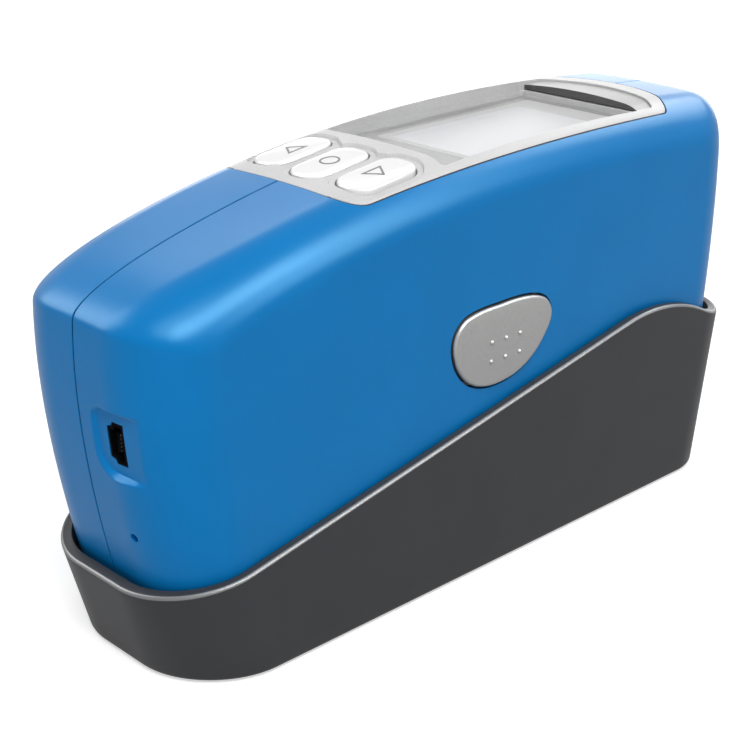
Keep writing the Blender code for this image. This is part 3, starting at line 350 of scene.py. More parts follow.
def ramp_of(tree, share, stops):
    """A colour ramp with two stops, each a position and a colour."""
    ramp = wire(tree, "ShaderNodeValToRGB", {"Fac": share})
    for element, (position, colour) in zip(ramp.color_ramp.elements, stops):
        element.position, element.color = position, (*colour, 1.0)
    return ramp.outputs["Color"]


# %% Finish helper
def finish_of(name, colour, rough, spread=0.04, broad=60.0, grain=2200.0, bump=0.02, metallic=0.0,
              coat=0.0, rough_range=0.05, opacity=1.0, specks=0.0, ior=1.5, tint=(1.0, 1.0, 1.0)):
    """A finish: colour in linear light, roughness, and how much each noise does."""
    made = bpy.data.materials.new(name)
    made.use_nodes = True
    tree = made.node_tree
    where = wire(tree, "ShaderNodeTexCoord").outputs["Object"]
    noises = [wire(tree, "ShaderNodeTexNoise", {"Scale": scale, "Detail": detail, "Vector": where})
              for scale, detail in ((broad, 2.0), (grain, 3.0))]
    slow, fine = [noise.outputs["Fac"] for noise in noises]
    paint = ramp_of(tree, slow, ((0.3, [part * (1.0 - spread) for part in colour]),
                                 (0.7, [min(part * (1.0 + spread), 1.0) for part in colour])))
    if specks:
        speck = ramp_of(tree, fine, ((0.35, [1.0 - specks] * 3), (0.65, [1.0] * 3)))
        paint = wire(tree, "ShaderNodeMix", {0: 1.0, 6: paint, 7: speck}, data_type="RGBA",
                     blend_type="MULTIPLY").outputs[2]
    gloss = wire(tree, "ShaderNodeMapRange", {"Value": fine, "To Min": max(rough - rough_range, 0.0),
                                              "To Max": rough + rough_range})
    relief = wire(tree, "ShaderNodeBump", {"Strength": 1.0, "Distance": bump * MM, "Height": fine})
    values = {"Base Color": paint, "Roughness": gloss.outputs["Result"], "Normal": relief.outputs["Normal"],
              "Metallic": metallic, "Coat Weight": coat, "Coat Roughness": 0.06, "Alpha": opacity,
              "IOR": ior, "Specular Tint": (*tint, 1.0)}
    for socket, value in values.items():
        plug(tree, value, tree.nodes["Principled BSDF"].inputs[socket])
    return made


# %% [markdown]
# The casing is a satin paint over plastic: one even blue, with a soft gloss that shows the light
# boxes as broad bands. The holder is the same plastic left bare, with a fine spark-eroded texture.
# The panel is silver paint, which has a visible grain. The keys are plain gloss white.
#
# In an even white studio a surface mirrors white from all sides. At the usual index of refraction,
# 1.5, that haze would grey the blue and the charcoal, so several finishes have a lower one.

# %% Finishes
casing_blue = finish_of("casing_blue", (0.002, 0.175, 0.48), 0.3, spread=0.03, bump=0.004, rough_range=0.03,
                        ior=1.27, tint=(0.46, 0.92, 0.98))
seam_blue = finish_of("seam_blue", (0.001, 0.03, 0.1), 0.5, ior=1.2)
charcoal = finish_of("charcoal_plastic", (0.04, 0.041, 0.044), 0.4, spread=0.05, grain=3200, bump=0.012,
                     ior=1.25)
# The holder's rounded rim gets a paler grey: a painted highlight for the light it catches
rim_painted_highlight = finish_of("rim_painted_highlight", (0.15, 0.152, 0.155), 0.36, spread=0.08, broad=140, grain=3200,
                          bump=0.006)
silver_paint = finish_of("silver_paint", (0.6, 0.6, 0.6), 0.42, spread=0.03, grain=4200, bump=0.012,
                         specks=0.12, ior=1.25)
button_silver = finish_of("button_silver", (0.36, 0.36, 0.355), 0.36, spread=0.03, grain=3600, bump=0.01,
                          metallic=0.4, specks=0.1)
key_white = finish_of("key_white", (0.85, 0.85, 0.85), 0.14, spread=0.01, grain=900, bump=0.004, coat=0.2,
                      rough_range=0.02)
key_ink = finish_of("key_ink", (0.09, 0.09, 0.095), 0.4, spread=0.08)
trim_grey = finish_of("trim_grey", (0.45, 0.45, 0.45), 0.4, spread=0.03, grain=4200, bump=0.01, specks=0.06,
                      ior=1.25)
# A near-black finish for walls in shade: painted shade on the plate's outer wall, the trim's front wall and
# the button's side wall
painted_shade_wall = finish_of("painted_shade_wall", (0.06, 0.06, 0.06), 0.5, spread=0.1)
lining_grey = finish_of("lining_grey", (0.33, 0.33, 0.33), 0.5, spread=0.06, broad=90)
border_grey = finish_of("border_grey", (0.56, 0.56, 0.56), 0.4, spread=0.05, broad=90, ior=1.2)
screen_pale = finish_of("screen_pale", (0.66, 0.67, 0.69), 0.3, spread=0.03, broad=70, grain=6000, bump=0.0,
                        ior=1.2)
pane_clear = finish_of("pane_clear", (0.7, 0.71, 0.72), 0.05, spread=0.01, bump=0.0, rough_range=0.01,
                       opacity=0.08, ior=1.25)
socket_black = finish_of("socket_black", (0.003, 0.003, 0.004), 0.5, spread=0.2, ior=1.05)
contact_metal = finish_of("contact_metal", (0.3, 0.24, 0.17), 0.35, spread=0.1, metallic=1.0)
rubber = finish_of("foot_rubber", (0.03, 0.03, 0.032), 0.8, spread=0.15, grain=1500, bump=0.04)
tray_grey = finish_of("tray_grey", (0.2, 0.2, 0.21), 0.55, spread=0.06, grain=2600, bump=0.02)
tile_glass = finish_of("tile_glass", (0.004, 0.004, 0.005), 0.03, spread=0.1, bump=0.0, rough_range=0.01,
                       coat=0.5)
anodised = finish_of("black_anodised", (0.018, 0.018, 0.02), 0.42, spread=0.15, metallic=0.5)
dark_plastic = finish_of("dark_plastic", (0.02, 0.02, 0.022), 0.5, spread=0.15)
steel = finish_of("plated_steel", (0.55, 0.55, 0.56), 0.28, spread=0.05, grain=1800, metallic=1.0)
lens_glass = finish_of("lens_glass", (0.78, 0.84, 0.88), 0.04, spread=0.02, bump=0.0, rough_range=0.01,
                       coat=0.5)
lamp_white = finish_of("lamp_white", (0.8, 0.8, 0.78), 0.3, spread=0.03)
board_green = finish_of("board_green", (0.015, 0.13, 0.055), 0.42, spread=0.2, broad=250, grain=1400)
cell_sleeve = finish_of("cell_sleeve", (0.06, 0.2, 0.5), 0.3, spread=0.05, grain=700, bump=0.01)
print("finishes:", len(bpy.data.materials))

# %% [markdown]
# Pieces that nobody sees with the meter assembled, the optics, boards and cell, keep their solids
# and only change their finish.

# %% Dress the hidden solids
HIDDEN = {
    "tile_tray": tray_grey, "calibration_tile": tile_glass, "base_plate": anodised,
    "optical_block": anodised, "inner_frame": tray_grey, "battery_cell": cell_sleeve,
    "key_pad": rubber, "lcd_module": dark_plastic, "side_switch": dark_plastic,
    "reset_switch": dark_plastic, "main_board": board_green, "side_board": board_green,
    "usb_board": board_green,
}
HIDDEN.update({f"base_screw_{k}": steel for k in range(1, 5)})
for angle in (20, 60, 85):
    HIDDEN.update({f"lamp_{angle}": lamp_white, f"detector_{angle}": dark_plastic,
                   f"source_lens_{angle}": lens_glass, f"receiver_lens_{angle}": lens_glass})
for name, dress in HIDDEN.items():
    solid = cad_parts[name]
    solid.data.materials.clear()
    solid.data.materials.append(dress)
print("hidden solids dressed:", len(HIDDEN))

# %% [markdown]
# ## The casing's surface
#
# The real casing is two moulded halves that meet on a fine seam along the top and both ends. Its
# roof is crowned, its sides lean out by their draft, and wide roundings join roof, ends and sides.
# A subdivision cage could give such a form, but then no edge would lie where the drawing puts it.
# Loops do better: each loop is the side view drawn in further, from the seam to the side, and the
# radius of the edge grows along it from the roof's value to the end walls' value.

# %% The casing's loops
CASE_STEPS = (220, 22, 90, 22, 60)       # points on each arc of the side view


def stretch(arc, low, high, count, move, radius):
    """Points along a part of an arc, moved, each with the edge's radius there."""
    points = []
    for k in range(count + 1):
        x, z = arc_point(arc, lerp(low, high, k / count))
        points.append((x + move[0], z + move[1], radius))
    return points


def bridge(before, way_before, after, way_after, count):
    """Points on an arc that touches both neighbours."""
    arc = (before[:2], tangents_meet(before, way_before, after, way_after), after[:2])
    return [(*arc_point(arc, k / count), lerp(before[2], after[2], ease(k / count))) for k in range(1, count)]


def side_view(skin, fall, below=0.0, steps=CASE_STEPS):
    """Side view of the casing drawn in by skin and, by fall from 0 to 1, to where its sides begin."""
    in_front, in_far, in_z = (lerp(skin, radius, fall) for radius in (FRONT_RADIUS, FAR_RADIUS, TOP_RADIUS))
    front_top = lerp(FRONT_WALL[2][1], ROOF_FRONT - TOP_RADIUS - 2.3 * ROUND_LEFT, fall)
    far_top = lerp(FAR_WALL[0][1], ROOF_FAR - TOP_RADIUS - ROUND_LEFT, fall)
    roof_stop = lerp(ROOF[2][0] - skin, FAR_WALL[0][0] - FAR_RADIUS - ROUND_LEFT, fall)
    front_stop, far_start = arc_share(FRONT_WALL, 1, front_top), arc_share(FAR_WALL, 1, far_top)
    roof_end = arc_share(ROOF, 0, roof_stop)
    outline = stretch(FRONT_WALL, 0.0, front_stop, steps[0], (in_front, 0.0), FRONT_RADIUS)
    over = stretch(ROOF, 0.0, roof_end, steps[2], (0.0, -in_z), TOP_RADIUS)
    far = stretch(FAR_WALL, far_start, 1.0, steps[4], (-in_far, 0.0), FAR_RADIUS)
    outline += bridge(outline[-1], arc_way(FRONT_WALL, front_stop), over[0], arc_way(ROOF, 0.0), steps[1])
    outline += over
    outline += bridge(over[-1], arc_way(ROOF, roof_end), far[0], arc_way(FAR_WALL, far_start), steps[3])
    outline += far
    if below:
        # The hollow is open at the foot, so its loops end that far under the casing
        outline[0] = (outline[0][0] + 0.25 * below, outline[0][1] - below, outline[0][2])
        outline[-1] = (outline[-1][0] - 0.15 * below, outline[-1][1] - below, outline[-1][2])
    return outline


def swell(x, y, z):
    """Crown the roof, and lean the sides by their draft."""
    z += ease((z - ROOF_FRONT + CROWN_FROM) / CROWN_FROM) * (LIFT - CROWN * (y / SIDE) ** 2)
    return (x, y * (1.0 - DRAFT * (DRAFT_LEVEL - z) / SIDE), z)


def roof(x, y):
    """Height of the casing's outer surface over a point of the plan."""
    height = arc_point(ROOF, arc_share(ROOF, 0, x))[1]
    wide = abs(y)
    for _ in range(4):
        over = min(max((wide - SIDE + TOP_RADIUS) / TOP_RADIUS, 0.0), 0.999)
        level = swell(x, wide, height - TOP_RADIUS * (1.0 - math.sqrt(1.0 - over * over)))[2]
        wide = abs(y) / (1.0 - DRAFT * (DRAFT_LEVEL - level) / SIDE)
    return level


def side_plane(z):
    """Half width of the casing's flat sides at a height."""
    return SIDE - DRAFT * (DRAFT_LEVEL - z)


def end_plane(z):
    """X of the socket end's middle at a height."""
    return arc_point(FRONT_WALL, arc_share(FRONT_WALL, 1, z))[0]


print("roof at the display end:", round(roof(64.0, 0.0), 2), "mm")

# %% [markdown]
# ## The niche round the socket
#
# The socket sits in a shallow niche with soft walls, which runs out where the casing's corner curves
# away. Carving would give it a hard edge. Instead the loops' own points are pushed inwards, with a
# smooth step across the wall, so the niche is part of the same surface.

# %% The niche
PORT_Y, PORT_Z = -8.6, CASE_FOOT + 43.1  # middle of the socket
NICHE_DEPTH, NICHE_SLOPE = 0.75, 0.1
NICHE_EDGE = -3.5                        # Y of its wall next to the seam
NICHE_LOW, NICHE_TOP = PORT_Z - 6.8, PORT_Z + 6.5
NICHE_WALL = 0.9                         # width of its soft walls
NICHE_CORNER_LOW, NICHE_CORNER_TOP = 5.0, 2.6


def niche_inside(y, z):
    """How far a point of the end lies inside the niche's outline, in millimetres."""
    radius = NICHE_CORNER_LOW if z < PORT_Z else NICHE_CORNER_TOP
    across = NICHE_EDGE - y
    upright = min(z - NICHE_LOW, NICHE_TOP - z)
    if across > radius or upright > radius:
        return min(across, upright)
    return radius - math.hypot(radius - across, radius - upright)


def niche_floor(y, z):
    """X of the niche's floor, which leans a little towards the corner of the casing."""
    return end_plane(z) + NICHE_DEPTH + NICHE_SLOPE * (NICHE_EDGE - y)


def sink_niche(x, y, z):
    if x > -HALF + FRONT_RADIUS + 4.0 or not NICHE_LOW < z < NICHE_TOP:
        return x
    return lerp(x, max(x, niche_floor(y, z)), ease(niche_inside(y, z) / NICHE_WALL))


# %% [markdown]
# ## The halves
#
# One half is the loft of its loops from the seam to the side. The seam's edge gets a small bevel,
# because that is what makes a parting line visible. Then a hollow, the panel's seat and, in the
# near half, the button's hole, the socket's hole and the pinhole of the reset switch are carved.
# The faces inside the seam take a darker blue, as next to no light comes out of so fine a gap.

# %% One half of the casing
SEAM_BEVEL = 0.12
FLAT_STEPS, ROUND_STEPS = 20, 40


def case_loop(side, skin, fall_turn, share, below=0.0, niche=False, steps=CASE_STEPS, seam=SEAM / 2.0):
    """Loop at a share of the way over the flat middle, or at a turn round the edge."""
    turn = math.radians(fall_turn)
    loop = []
    for x, z, radius in side_view(skin, 1.0 - math.cos(turn), below, steps):
        edge = SIDE - skin - (radius - skin) * (1.0 - math.sin(turn))
        y = lerp(seam, edge, share)
        px, py, pz = swell(x, side * y, z)
        loop.append((sink_niche(px, py, pz) if niche else px, py, pz))
    return loop


def case_half(name, side, niche):
    loops = [case_loop(side, SEAM_BEVEL, 0.0, 0.0)]
    loops += [case_loop(side, 0.0, 0.0, k / FLAT_STEPS, niche=niche, seam=SEAM / 2.0 + SEAM_BEVEL)
              for k in range(FLAT_STEPS)]
    loops += [case_loop(side, 0.0, 90.0 * k / ROUND_STEPS, 1.0, niche=niche) for k in range(ROUND_STEPS + 1)]
    # One more ring on the flat side keeps its large face out of the rounding's shading
    middle = [sum(point[axis] for point in loops[-1]) / len(loops[-1]) for axis in (0, 2)]
    inner = [(lerp(x, middle[0], 0.04), z + (middle[1] - z) * 0.04) for x, _y, z in loops[-1]]
    loops.append([(x, side * side_plane(z), z) for x, z in inner])
    return loft(name, loops, casing_blue)


def case_hollow(side):
    coarse = (10, 6, 16, 6, 10)              # few points, as the inside isn't seen
    loops = [case_loop(side, SHELL_WALL, 0.0, share, 3.0, steps=coarse, seam=-1.0) for share in (0.0, 0.5)]
    loops += [case_loop(side, SHELL_WALL, 22.5 * k, 1.0, 3.0, steps=coarse) for k in range(5)]
    return loft("hollow", loops)


# %% [markdown]
# ## The top panel's outline
#
# The panel is a silver plate let into the roof. Its front corners are round, its long edges bow out
# very slightly, and its far end is a wide arc with small corners. The same outline, drawn larger or
# smaller, gives its seat in the casing and the opening below.

# %% The panel's outline
PANEL_FRONT, PANEL_TIP = -34.2, HALF - 18.2
PANEL_HALF, PANEL_WIDEST = 19.3, 20.0    # its greatest half width, and the X where it has it
PANEL_BARREL = 0.00033                   # how fast its long edges draw in from there
PANEL_CORNER, PANEL_END_CORNER, PANEL_ARC = 5.6, 2.2, 31.0
PANEL_EDGE, LEDGE = 1.2, 0.9             # the plate's thickness, and the ledge that carries it


def arched_end(tip, arc, corner, half):
    """Where the corners start, their centres' Y, the arc's centre and the angle where both touch."""
    centre, side = tip - arc, half - corner
    start = centre + math.sqrt((arc - corner) ** 2 - side ** 2)
    return start, side, centre, math.atan2(side, start - centre)


def arched_half(x, tip, arc, corner, half):
    """Half width at a station of a form that ends in an arc with rounded corners."""
    start, side, centre, touch = arched_end(tip, arc, corner, half)
    if x <= start:
        return half
    if x < centre + arc * math.cos(touch):
        return side + math.sqrt(max(corner ** 2 - (x - start) ** 2, 0.0))
    return math.sqrt(max(arc ** 2 - (x - centre) ** 2, 0.0))


def arched_places(tip, arc, corner, half):
    """Stations over the corners and the arc of such an end."""
    start, _side, centre, touch = arched_end(tip, arc, corner, half)
    places = [start + corner * math.cos(lerp(math.pi / 2.0, touch, share)) for share in even(8)]
    return places + [centre + arc * math.cos(lerp(touch, math.radians(1.2), share)) for share in even(16)[1:]]


def panel_end(shrink):
    return (PANEL_TIP - shrink, PANEL_ARC - shrink, max(PANEL_END_CORNER - shrink, 0.5),
            PANEL_HALF - PANEL_BARREL * (PANEL_TIP - PANEL_WIDEST) ** 2 - shrink)


def panel_half(x, shrink=0.0):
    """Half width of the panel's outline at a station, drawn in by shrink."""
    half = PANEL_HALF - PANEL_BARREL * (x - PANEL_WIDEST) ** 2 - shrink
    front, radius = PANEL_FRONT + shrink, PANEL_CORNER - 0.5 * shrink
    if x < front + radius:
        near = max(front + radius - x, 0.0)
        half -= radius - math.sqrt(max(radius ** 2 - near ** 2, 0.0))
    end = panel_end(shrink)
    return half + arched_half(x, *end) - end[3] if x > arched_end(*end)[0] else half


def panel_stations(shrink=0.0, middle=40):
    """Strips of the plan that together make the panel's outline."""
    front, radius = PANEL_FRONT + shrink, PANEL_CORNER - 0.5 * shrink
    places = [front + radius * (1.0 - math.cos(math.radians(90.0 * k / 8.0))) for k in range(1, 9)]
    places.insert(0, front)
    end = arched_places(*panel_end(shrink))
    places += [lerp(places[-1], end[0], k / middle) for k in range(1, middle)] + end
    return [(x, -panel_half(x, shrink), panel_half(x, shrink)) for x in places]


def roof_slab(name, stations, low, high, columns=None, finish=None, edge=0.0):
    """Slab whose two faces follow the roof at given distances."""
    return slab(name, stations, columns or even(24), lambda x, y: roof(x, y) + low,
                lambda x, y: roof(x, y) + high, finish, edge)


# %% [markdown]
# ## The button's outline
#
# The side button is egg-shaped, with its broad end towards the socket. Its outline is a chain of six
# arcs, kept as shares of its length and height so that it can be compared with the drawing. The
# same chain, grown by the clearance, is the hole in the casing.

# %% The button's outline
BUTTON_X, BUTTON_Z = 2.8, CASE_FOOT + 44.0
BUTTON_LENGTH, BUTTON_HEIGHT = 28.0, 16.4
BUTTON_PROUD, BUTTON_FIT, BUTTON_FLANGE = 0.7, 0.5, 1.0
EGG_KNOTS = ((-0.464, -0.116), (-0.386, 0.433), (-0.064, 0.488), (0.471, 0.311), (0.454, -0.055),
             (-0.057, -0.512), (-0.464, -0.116))
EGG_CONTROLS = ((-0.557, 0.268), (-0.286, 0.5), (0.386, 0.524), (0.543, 0.146), (0.286, -0.506),
                (-0.35, -0.512))


def egg(grow):
    """Outline of the button in X and Z, grown by a distance."""
    outline = []
    for knots in zip(EGG_KNOTS, EGG_CONTROLS, EGG_KNOTS[1:]):
        arc = [(BUTTON_X + x * BUTTON_LENGTH, BUTTON_Z + z * BUTTON_HEIGHT) for x, z in knots]
        for share in even(18)[:-1]:
            x, z = arc_point(arc, share)
            dx, dz = arc_way(arc, share)
            size = math.hypot(dx, dz)
            outline.append((x - dz / size * grow, z + dx / size * grow))
    return outline


def egg_loop(grow, depth):
    """That outline laid on the casing's near side, at a depth under its surface."""
    return [(x, -side_plane(z) + depth, z) for x, z in egg(grow)]


def port_outline(grow):
    """Mini socket seen from its mouth, in Y and Z: narrower on the seam's side."""
    wide, thick, slope = 3.85 + grow, 1.95 + grow, 1.1
    return [(-thick, -wide), (thick - slope - 0.3, -wide), (thick - slope, -wide + slope * 0.7),
            (thick, -wide + slope), (thick, wide - slope), (thick - slope, wide - slope * 0.7),
            (thick - slope - 0.3, wide), (-thick, wide)]


def port_loop(x, grow):
    return [(x, PORT_Y + y, PORT_Z + z) for y, z in port_outline(grow)]


# %% Carve both halves
PINHOLE = (-9.9, CASE_FOOT + 25.3)       # Y and Z of the reset switch's hole
PINHOLE_RADIUS, PORT_GAP = 0.85, 0.15
TOOL_REACH = 12.0                        # how far into the casing both holes go
for name, side, node in (("near_half", -1, "near_shell"), ("far_half", 1, "far_shell")):
    half = case_half(name, side, niche=side < 0)
    tools = [case_hollow(side), roof_slab("seat", panel_stations(-FIT), -PANEL_EDGE - FIT, 4.0),
             roof_slab("opening", panel_stations(LEDGE), -9.0, 5.0)]
    if side < 0:
        tools += [loft("button_hole", [egg_loop(BUTTON_FIT, depth) for depth in (-4.0, SHELL_WALL + 3.0)]),
                  loft("port_hole", [port_loop(x, PORT_GAP) for x in (-HALF - 5.0, TOOL_REACH - HALF)]),
                  rod("pinhole", (-HALF - 3.0, *PINHOLE), (TOOL_REACH - HALF, *PINHOLE), PINHOLE_RADIUS)]
    carve(half, tools)
    second_finish(half, seam_blue, lambda face: abs(face.center.y) < (0.5 * SEAM + 0.01) * MM)
    finished(half, "casing", "casing_plastic", node)

# %% [markdown]
# ## The top panel
#
# The plate has to follow the roof exactly, so it is a slab over a grid of the plan, with its border
# lowered a little to make a fine bevel. A block below it gives the keys and the display their
# depth. The land round the keys is sunk with sloping walls, scalloped where two keys meet, and it
# is carved with a tool whose outline is the three keys' outlines grown and joined.
#
# In the photograph the key row and the window sit a little towards the near side, the keys' faces
# lie just under the panel's line, and the outer two keys stand a millimetre ahead of the middle one.

# %% Key and window sizes
KEY_X, KEY_PITCH = PANEL_FRONT + 11.7, 11.5
KEY_LENGTH, KEY_WIDTH, KEY_ROUND = 15.4, 8.7, 3.4
OUTER_AHEAD = 1.0                        # the outer two keys stand this far ahead of the middle one
ROW_Y = -0.7                             # the row's middle, a little towards the near side
KEYS = {"up": ROW_Y - KEY_PITCH, "enter": ROW_Y, "down": ROW_Y + KEY_PITCH}
KEY_SUNK, KEY_FIT = 0.2, 0.35            # depth of the keys' faces, and the gap round a key
SCALLOP, SCALLOP_DEPTH = 1.3, 0.7        # reach of the land past the keys, and its depth
NOTCH = 1.7                              # depth of the land's notches between the keys
KEY_CEILING, WINDOW_CEILING = ROOF_FAR - 5.7, ROOF_FAR - 4.6   # the plate's underside
WINDOW_FRONT, WINDOW_END = PANEL_FRONT + 24.2, PANEL_TIP - 14.0
WINDOW_HALF, WINDOW_Y = 16.13, -1.5
WINDOW_X, WINDOW_REACH = 0.5 * (WINDOW_FRONT + WINDOW_END), 0.5 * (WINDOW_END - WINDOW_FRONT)
PANE_DEPTH, PANE_RISE = 1.03, 0.0102     # how deep the pane lies, and its slope along X
PANE_FROM = 27.2                         # how far behind the panel's front that depth is taken
SCREEN_DEPTH = 2.0                       # of the display's face under the pane's top
TRIM_REACH, TRIM_ARC, TRIM_CORNER = 8.9, 32.0, 1.2


# %% Outlines on the panel
def key_middle(y):
    """X of the keys' middle line, which bends towards the display at both ends of the row."""
    return KEY_X + OUTER_AHEAD * ease((abs(y - ROW_Y) - 0.4 * KEY_PITCH) / (0.2 * KEY_PITCH))


def pane_top(x):
    """Height of the pane, which is flat and rises a little towards the display end."""
    return ROOF_FAR - PANE_DEPTH + PANE_RISE * (x - PANEL_FRONT - PANE_FROM)


def pane_level(depth):
    return lambda x, y: pane_top(x) - depth


def scallop_outline(grow):
    """Outline of the land round the keys: three rounded rectangles, grown and joined."""
    radius, half_y = KEY_ROUND + SCALLOP + grow, KEY_WIDTH / 2.0 + SCALLOP + grow
    reach, outer = KEY_LENGTH / 2.0 + SCALLOP + grow, KEY_PITCH + half_y
    front, back = [], []
    for k in range(181):
        y = ROW_Y + lerp(-outer, outer, 0.5 - 0.5 * math.cos(math.pi * k / 180.0))
        nearest = min(abs(y - middle) for middle in KEYS.values())
        over = min(max(nearest - (half_y - radius), 0.0), radius)
        inset = radius - math.sqrt(max(radius ** 2 - over ** 2, 0.0))
        if abs(y - ROW_Y) < KEY_PITCH:
            inset = min(inset, NOTCH)
        front.append((key_middle(y) - reach + inset, y))
        back.append((key_middle(y) + reach - inset, y))
    return front + back[::-1]


def window_outline(grow):
    return rounded(WINDOW_REACH + grow, WINDOW_HALF + grow, 1.0 + grow, x=WINDOW_X, y=WINDOW_Y)


def trim_end(grow):
    return (WINDOW_END + TRIM_REACH + grow, TRIM_ARC + grow, TRIM_CORNER + grow, WINDOW_HALF - FIT + grow)


def trim_stations(grow, front):
    end = trim_end(grow)
    return [(x, WINDOW_Y - arched_half(x, *end), WINDOW_Y + arched_half(x, *end))
            for x in [front] + arched_places(*end)]


# %% [markdown]
# The key holes are carved before the land. In the other order, the holes have to cut the land's long
# thin walls, and the exact boolean can lose the whole plate over them. The plate's outer wall then
# takes a dark finish, painted shade that draws the fine dark line of the shaded gap all round the panel.

# %% Build the panel
panel = roof_slab("top_plate", panel_stations(middle=70), -PANEL_EDGE, 0.0, shares_with_edge(60, 0.004),
                  silver_paint, edge=0.12)
core_step = WINDOW_FRONT - 4.0           # X where the underside changes its height
core = slab("core", panel_stations(LEDGE + FIT), even(16),
            lambda x, y: KEY_CEILING if x < core_step else WINDOW_CEILING,
            lambda x, y: roof(x, y) - 0.6 * PANEL_EDGE)
carve(panel, [core], "UNION")
tools = [prism("window_seat", [(window_outline(0.0), pane_level(depth)) for depth in (2.6, -8.0)]),
         slab("trim_seat", trim_stations(0.12, WINDOW_END - 2.0), even(12),
              lambda x, y: pane_top(WINDOW_END) - 0.2, lambda x, y: pane_top(WINDOW_END) + 8.0)]
for y in KEYS.values():
    hole = rounded(KEY_LENGTH / 2.0 + KEY_FIT, KEY_WIDTH / 2.0 + KEY_FIT, KEY_ROUND + KEY_FIT,
                   x=key_middle(y), y=y)
    tools.append(prism("key_hole", [(hole, KEY_CEILING - 3.0), (hole, KEY_CEILING + 9.0)]))
tools.append(prism("land", [(scallop_outline(0.0), lambda x, y: roof(x, y) - SCALLOP_DEPTH),
                            (scallop_outline(0.22), lambda x, y: roof(x, y) - 0.06),
                            (scallop_outline(1.6), lambda x, y: roof(x, y) + 1.3)]))
carve(panel, tools)


def outer_wall(face):
    x, y = face.center.x / MM + MIDDLE, abs(face.center.y / MM)
    inside = PANEL_FRONT + 0.3 < x < PANEL_TIP - 0.3 and y < panel_half(x, 0.3)
    return not inside and abs(face.normal.z) < 0.25


# The plate's outer wall is painted dark: painted shade for the gap round the panel
second_finish(panel, painted_shade_wall, outer_wall)
finished(panel, "casing", "silver_paint", "top_panel")

# %% [markdown]
# ## The display
#
# Looking into the window from the socket end, its pane lies a little under the plate, and the
# display's face lies deeper still, so the border looks wider on the far side. A painted pane could
# not do that from every side. So there are four pieces: a clear pane, the seat's grey lining, a
# border plate and the pale face itself, which is left blank.

# %% The display's pieces
PANE_EDGE = 0.06                         # bevel of the pane
BORDER = (1.8, WINDOW_END - 0.3, -16.4, 12.4)    # the border's edges: X from and to, Y from and to
ACTIVE = (3.2, 41.0, -14.4, 9.6)                 # and those of the face

pane = prism("display_pane", [(window_outline(-FIT), pane_level(1.2)),
                              (window_outline(-FIT), pane_level(PANE_EDGE)),
                              (window_outline(-FIT - PANE_EDGE), pane_level(0.0))], pane_clear)
finished(pane, "casing", "window", "display_window")

lining = prism("display_lining", [(window_outline(-0.05), pane_level(SCREEN_DEPTH + 0.4)),
                                  (window_outline(-0.05), pane_level(1.3))], lining_grey)
room = rounded(WINDOW_REACH - 0.5, WINDOW_HALF - 0.7, 0.6, x=WINDOW_X + 0.3, y=WINDOW_Y)
carve(lining, [prism("room", [(room, pane_level(SCREEN_DEPTH)), (room, pane_level(0.0))])])
finished(lining, "casing", "black_plastic")


def level_sheet(name, edges, depth, thick, finish):
    """Sheet parallel to the pane, with its top this deep under the pane's."""
    low_x, high_x, low_y, high_y = edges
    outline = rounded((high_x - low_x) / 2.0, (high_y - low_y) / 2.0, 0.3, x=(low_x + high_x) / 2.0,
                      y=(low_y + high_y) / 2.0)
    return prism(name, [(outline, pane_level(depth + thick)), (outline, pane_level(depth))], finish)


border = level_sheet("display_border", BORDER, SCREEN_DEPTH - 0.05, 0.2, border_grey)
finished(border, "casing", "black_plastic")
screen = level_sheet("display_face", ACTIVE, SCREEN_DEPTH - 0.12, 0.3, screen_pale)
finished(screen, "casing", "display_cell", "lcd_glass")

# %% [markdown]
# ## The end trim
#
# Beyond the pane a pale trim closes the window's arched end. It follows the roof a little below the
# plate, and at its front it dips towards the pane on both sides. Its front wall, which faces the
# pane, is painted dark: painted shade for the wall in shadow. One mesh with two finishes shows that:
# the faces that look towards -X take the second one.

# %% The end trim
TRIM_FRONT = WINDOW_END + 0.7
TRIM_DEPTH, TRIM_DIP, TRIM_FADE = 0.45, 0.45, 6.0    # the dip fades out over the last of these


def trim_top(x, y):
    """A little under the plate; at the front it dips to the pane on both sides."""
    dip = TRIM_DIP * ((y - WINDOW_Y) / WINDOW_HALF) ** 2 * (1.0 - ease((x - TRIM_FRONT) / TRIM_FADE))
    return max(roof(x, y) - TRIM_DEPTH - dip, pane_top(WINDOW_END) + 0.15)


trim = slab("end_trim", trim_stations(0.0, TRIM_FRONT), shares_with_edge(40, 0.004),
            lambda x, y: pane_top(WINDOW_END) - 0.2 + FIT, trim_top, trim_grey, edge=0.03)
# The front wall facing the pane takes the dark finish: painted shade
second_finish(trim, painted_shade_wall, lambda face: face.normal.x < -0.9)
finished(trim, "casing", "trim_plastic", "display_end_trim")

# %% [markdown]
# ## Keys
#
# A moulded key has a rounded top edge and a slightly domed face that follows the panel's curve. Its
# loops climb the wall, turn over the edge and draw in to the middle. A plain extrusion with a bevel
# would be quicker, but its face would stay flat while the panel around it bends.

# %% Keys
KEY_EDGE = 0.55                          # radius of the rounded top edge
KEY_BEND = 0.6                           # how much of the roof's bend a key's face takes on
KEY_LEAN = 0.02                          # and how much it leans outwards
DOME = ((0.85, 0.04), (0.7, 0.06), (0.5, 0.08), (0.35, 0.09), (0.2, 0.1), (0.08, 0.1))


def key_height(x, y):
    """Height of a key's face: it follows the roof, but bends less across its own width."""
    middle = min(KEYS.values(), key=lambda spot: abs(spot - y))
    return roof(x, lerp(middle, y, KEY_BEND)) - KEY_SUNK - KEY_LEAN * (abs(y) - abs(middle))


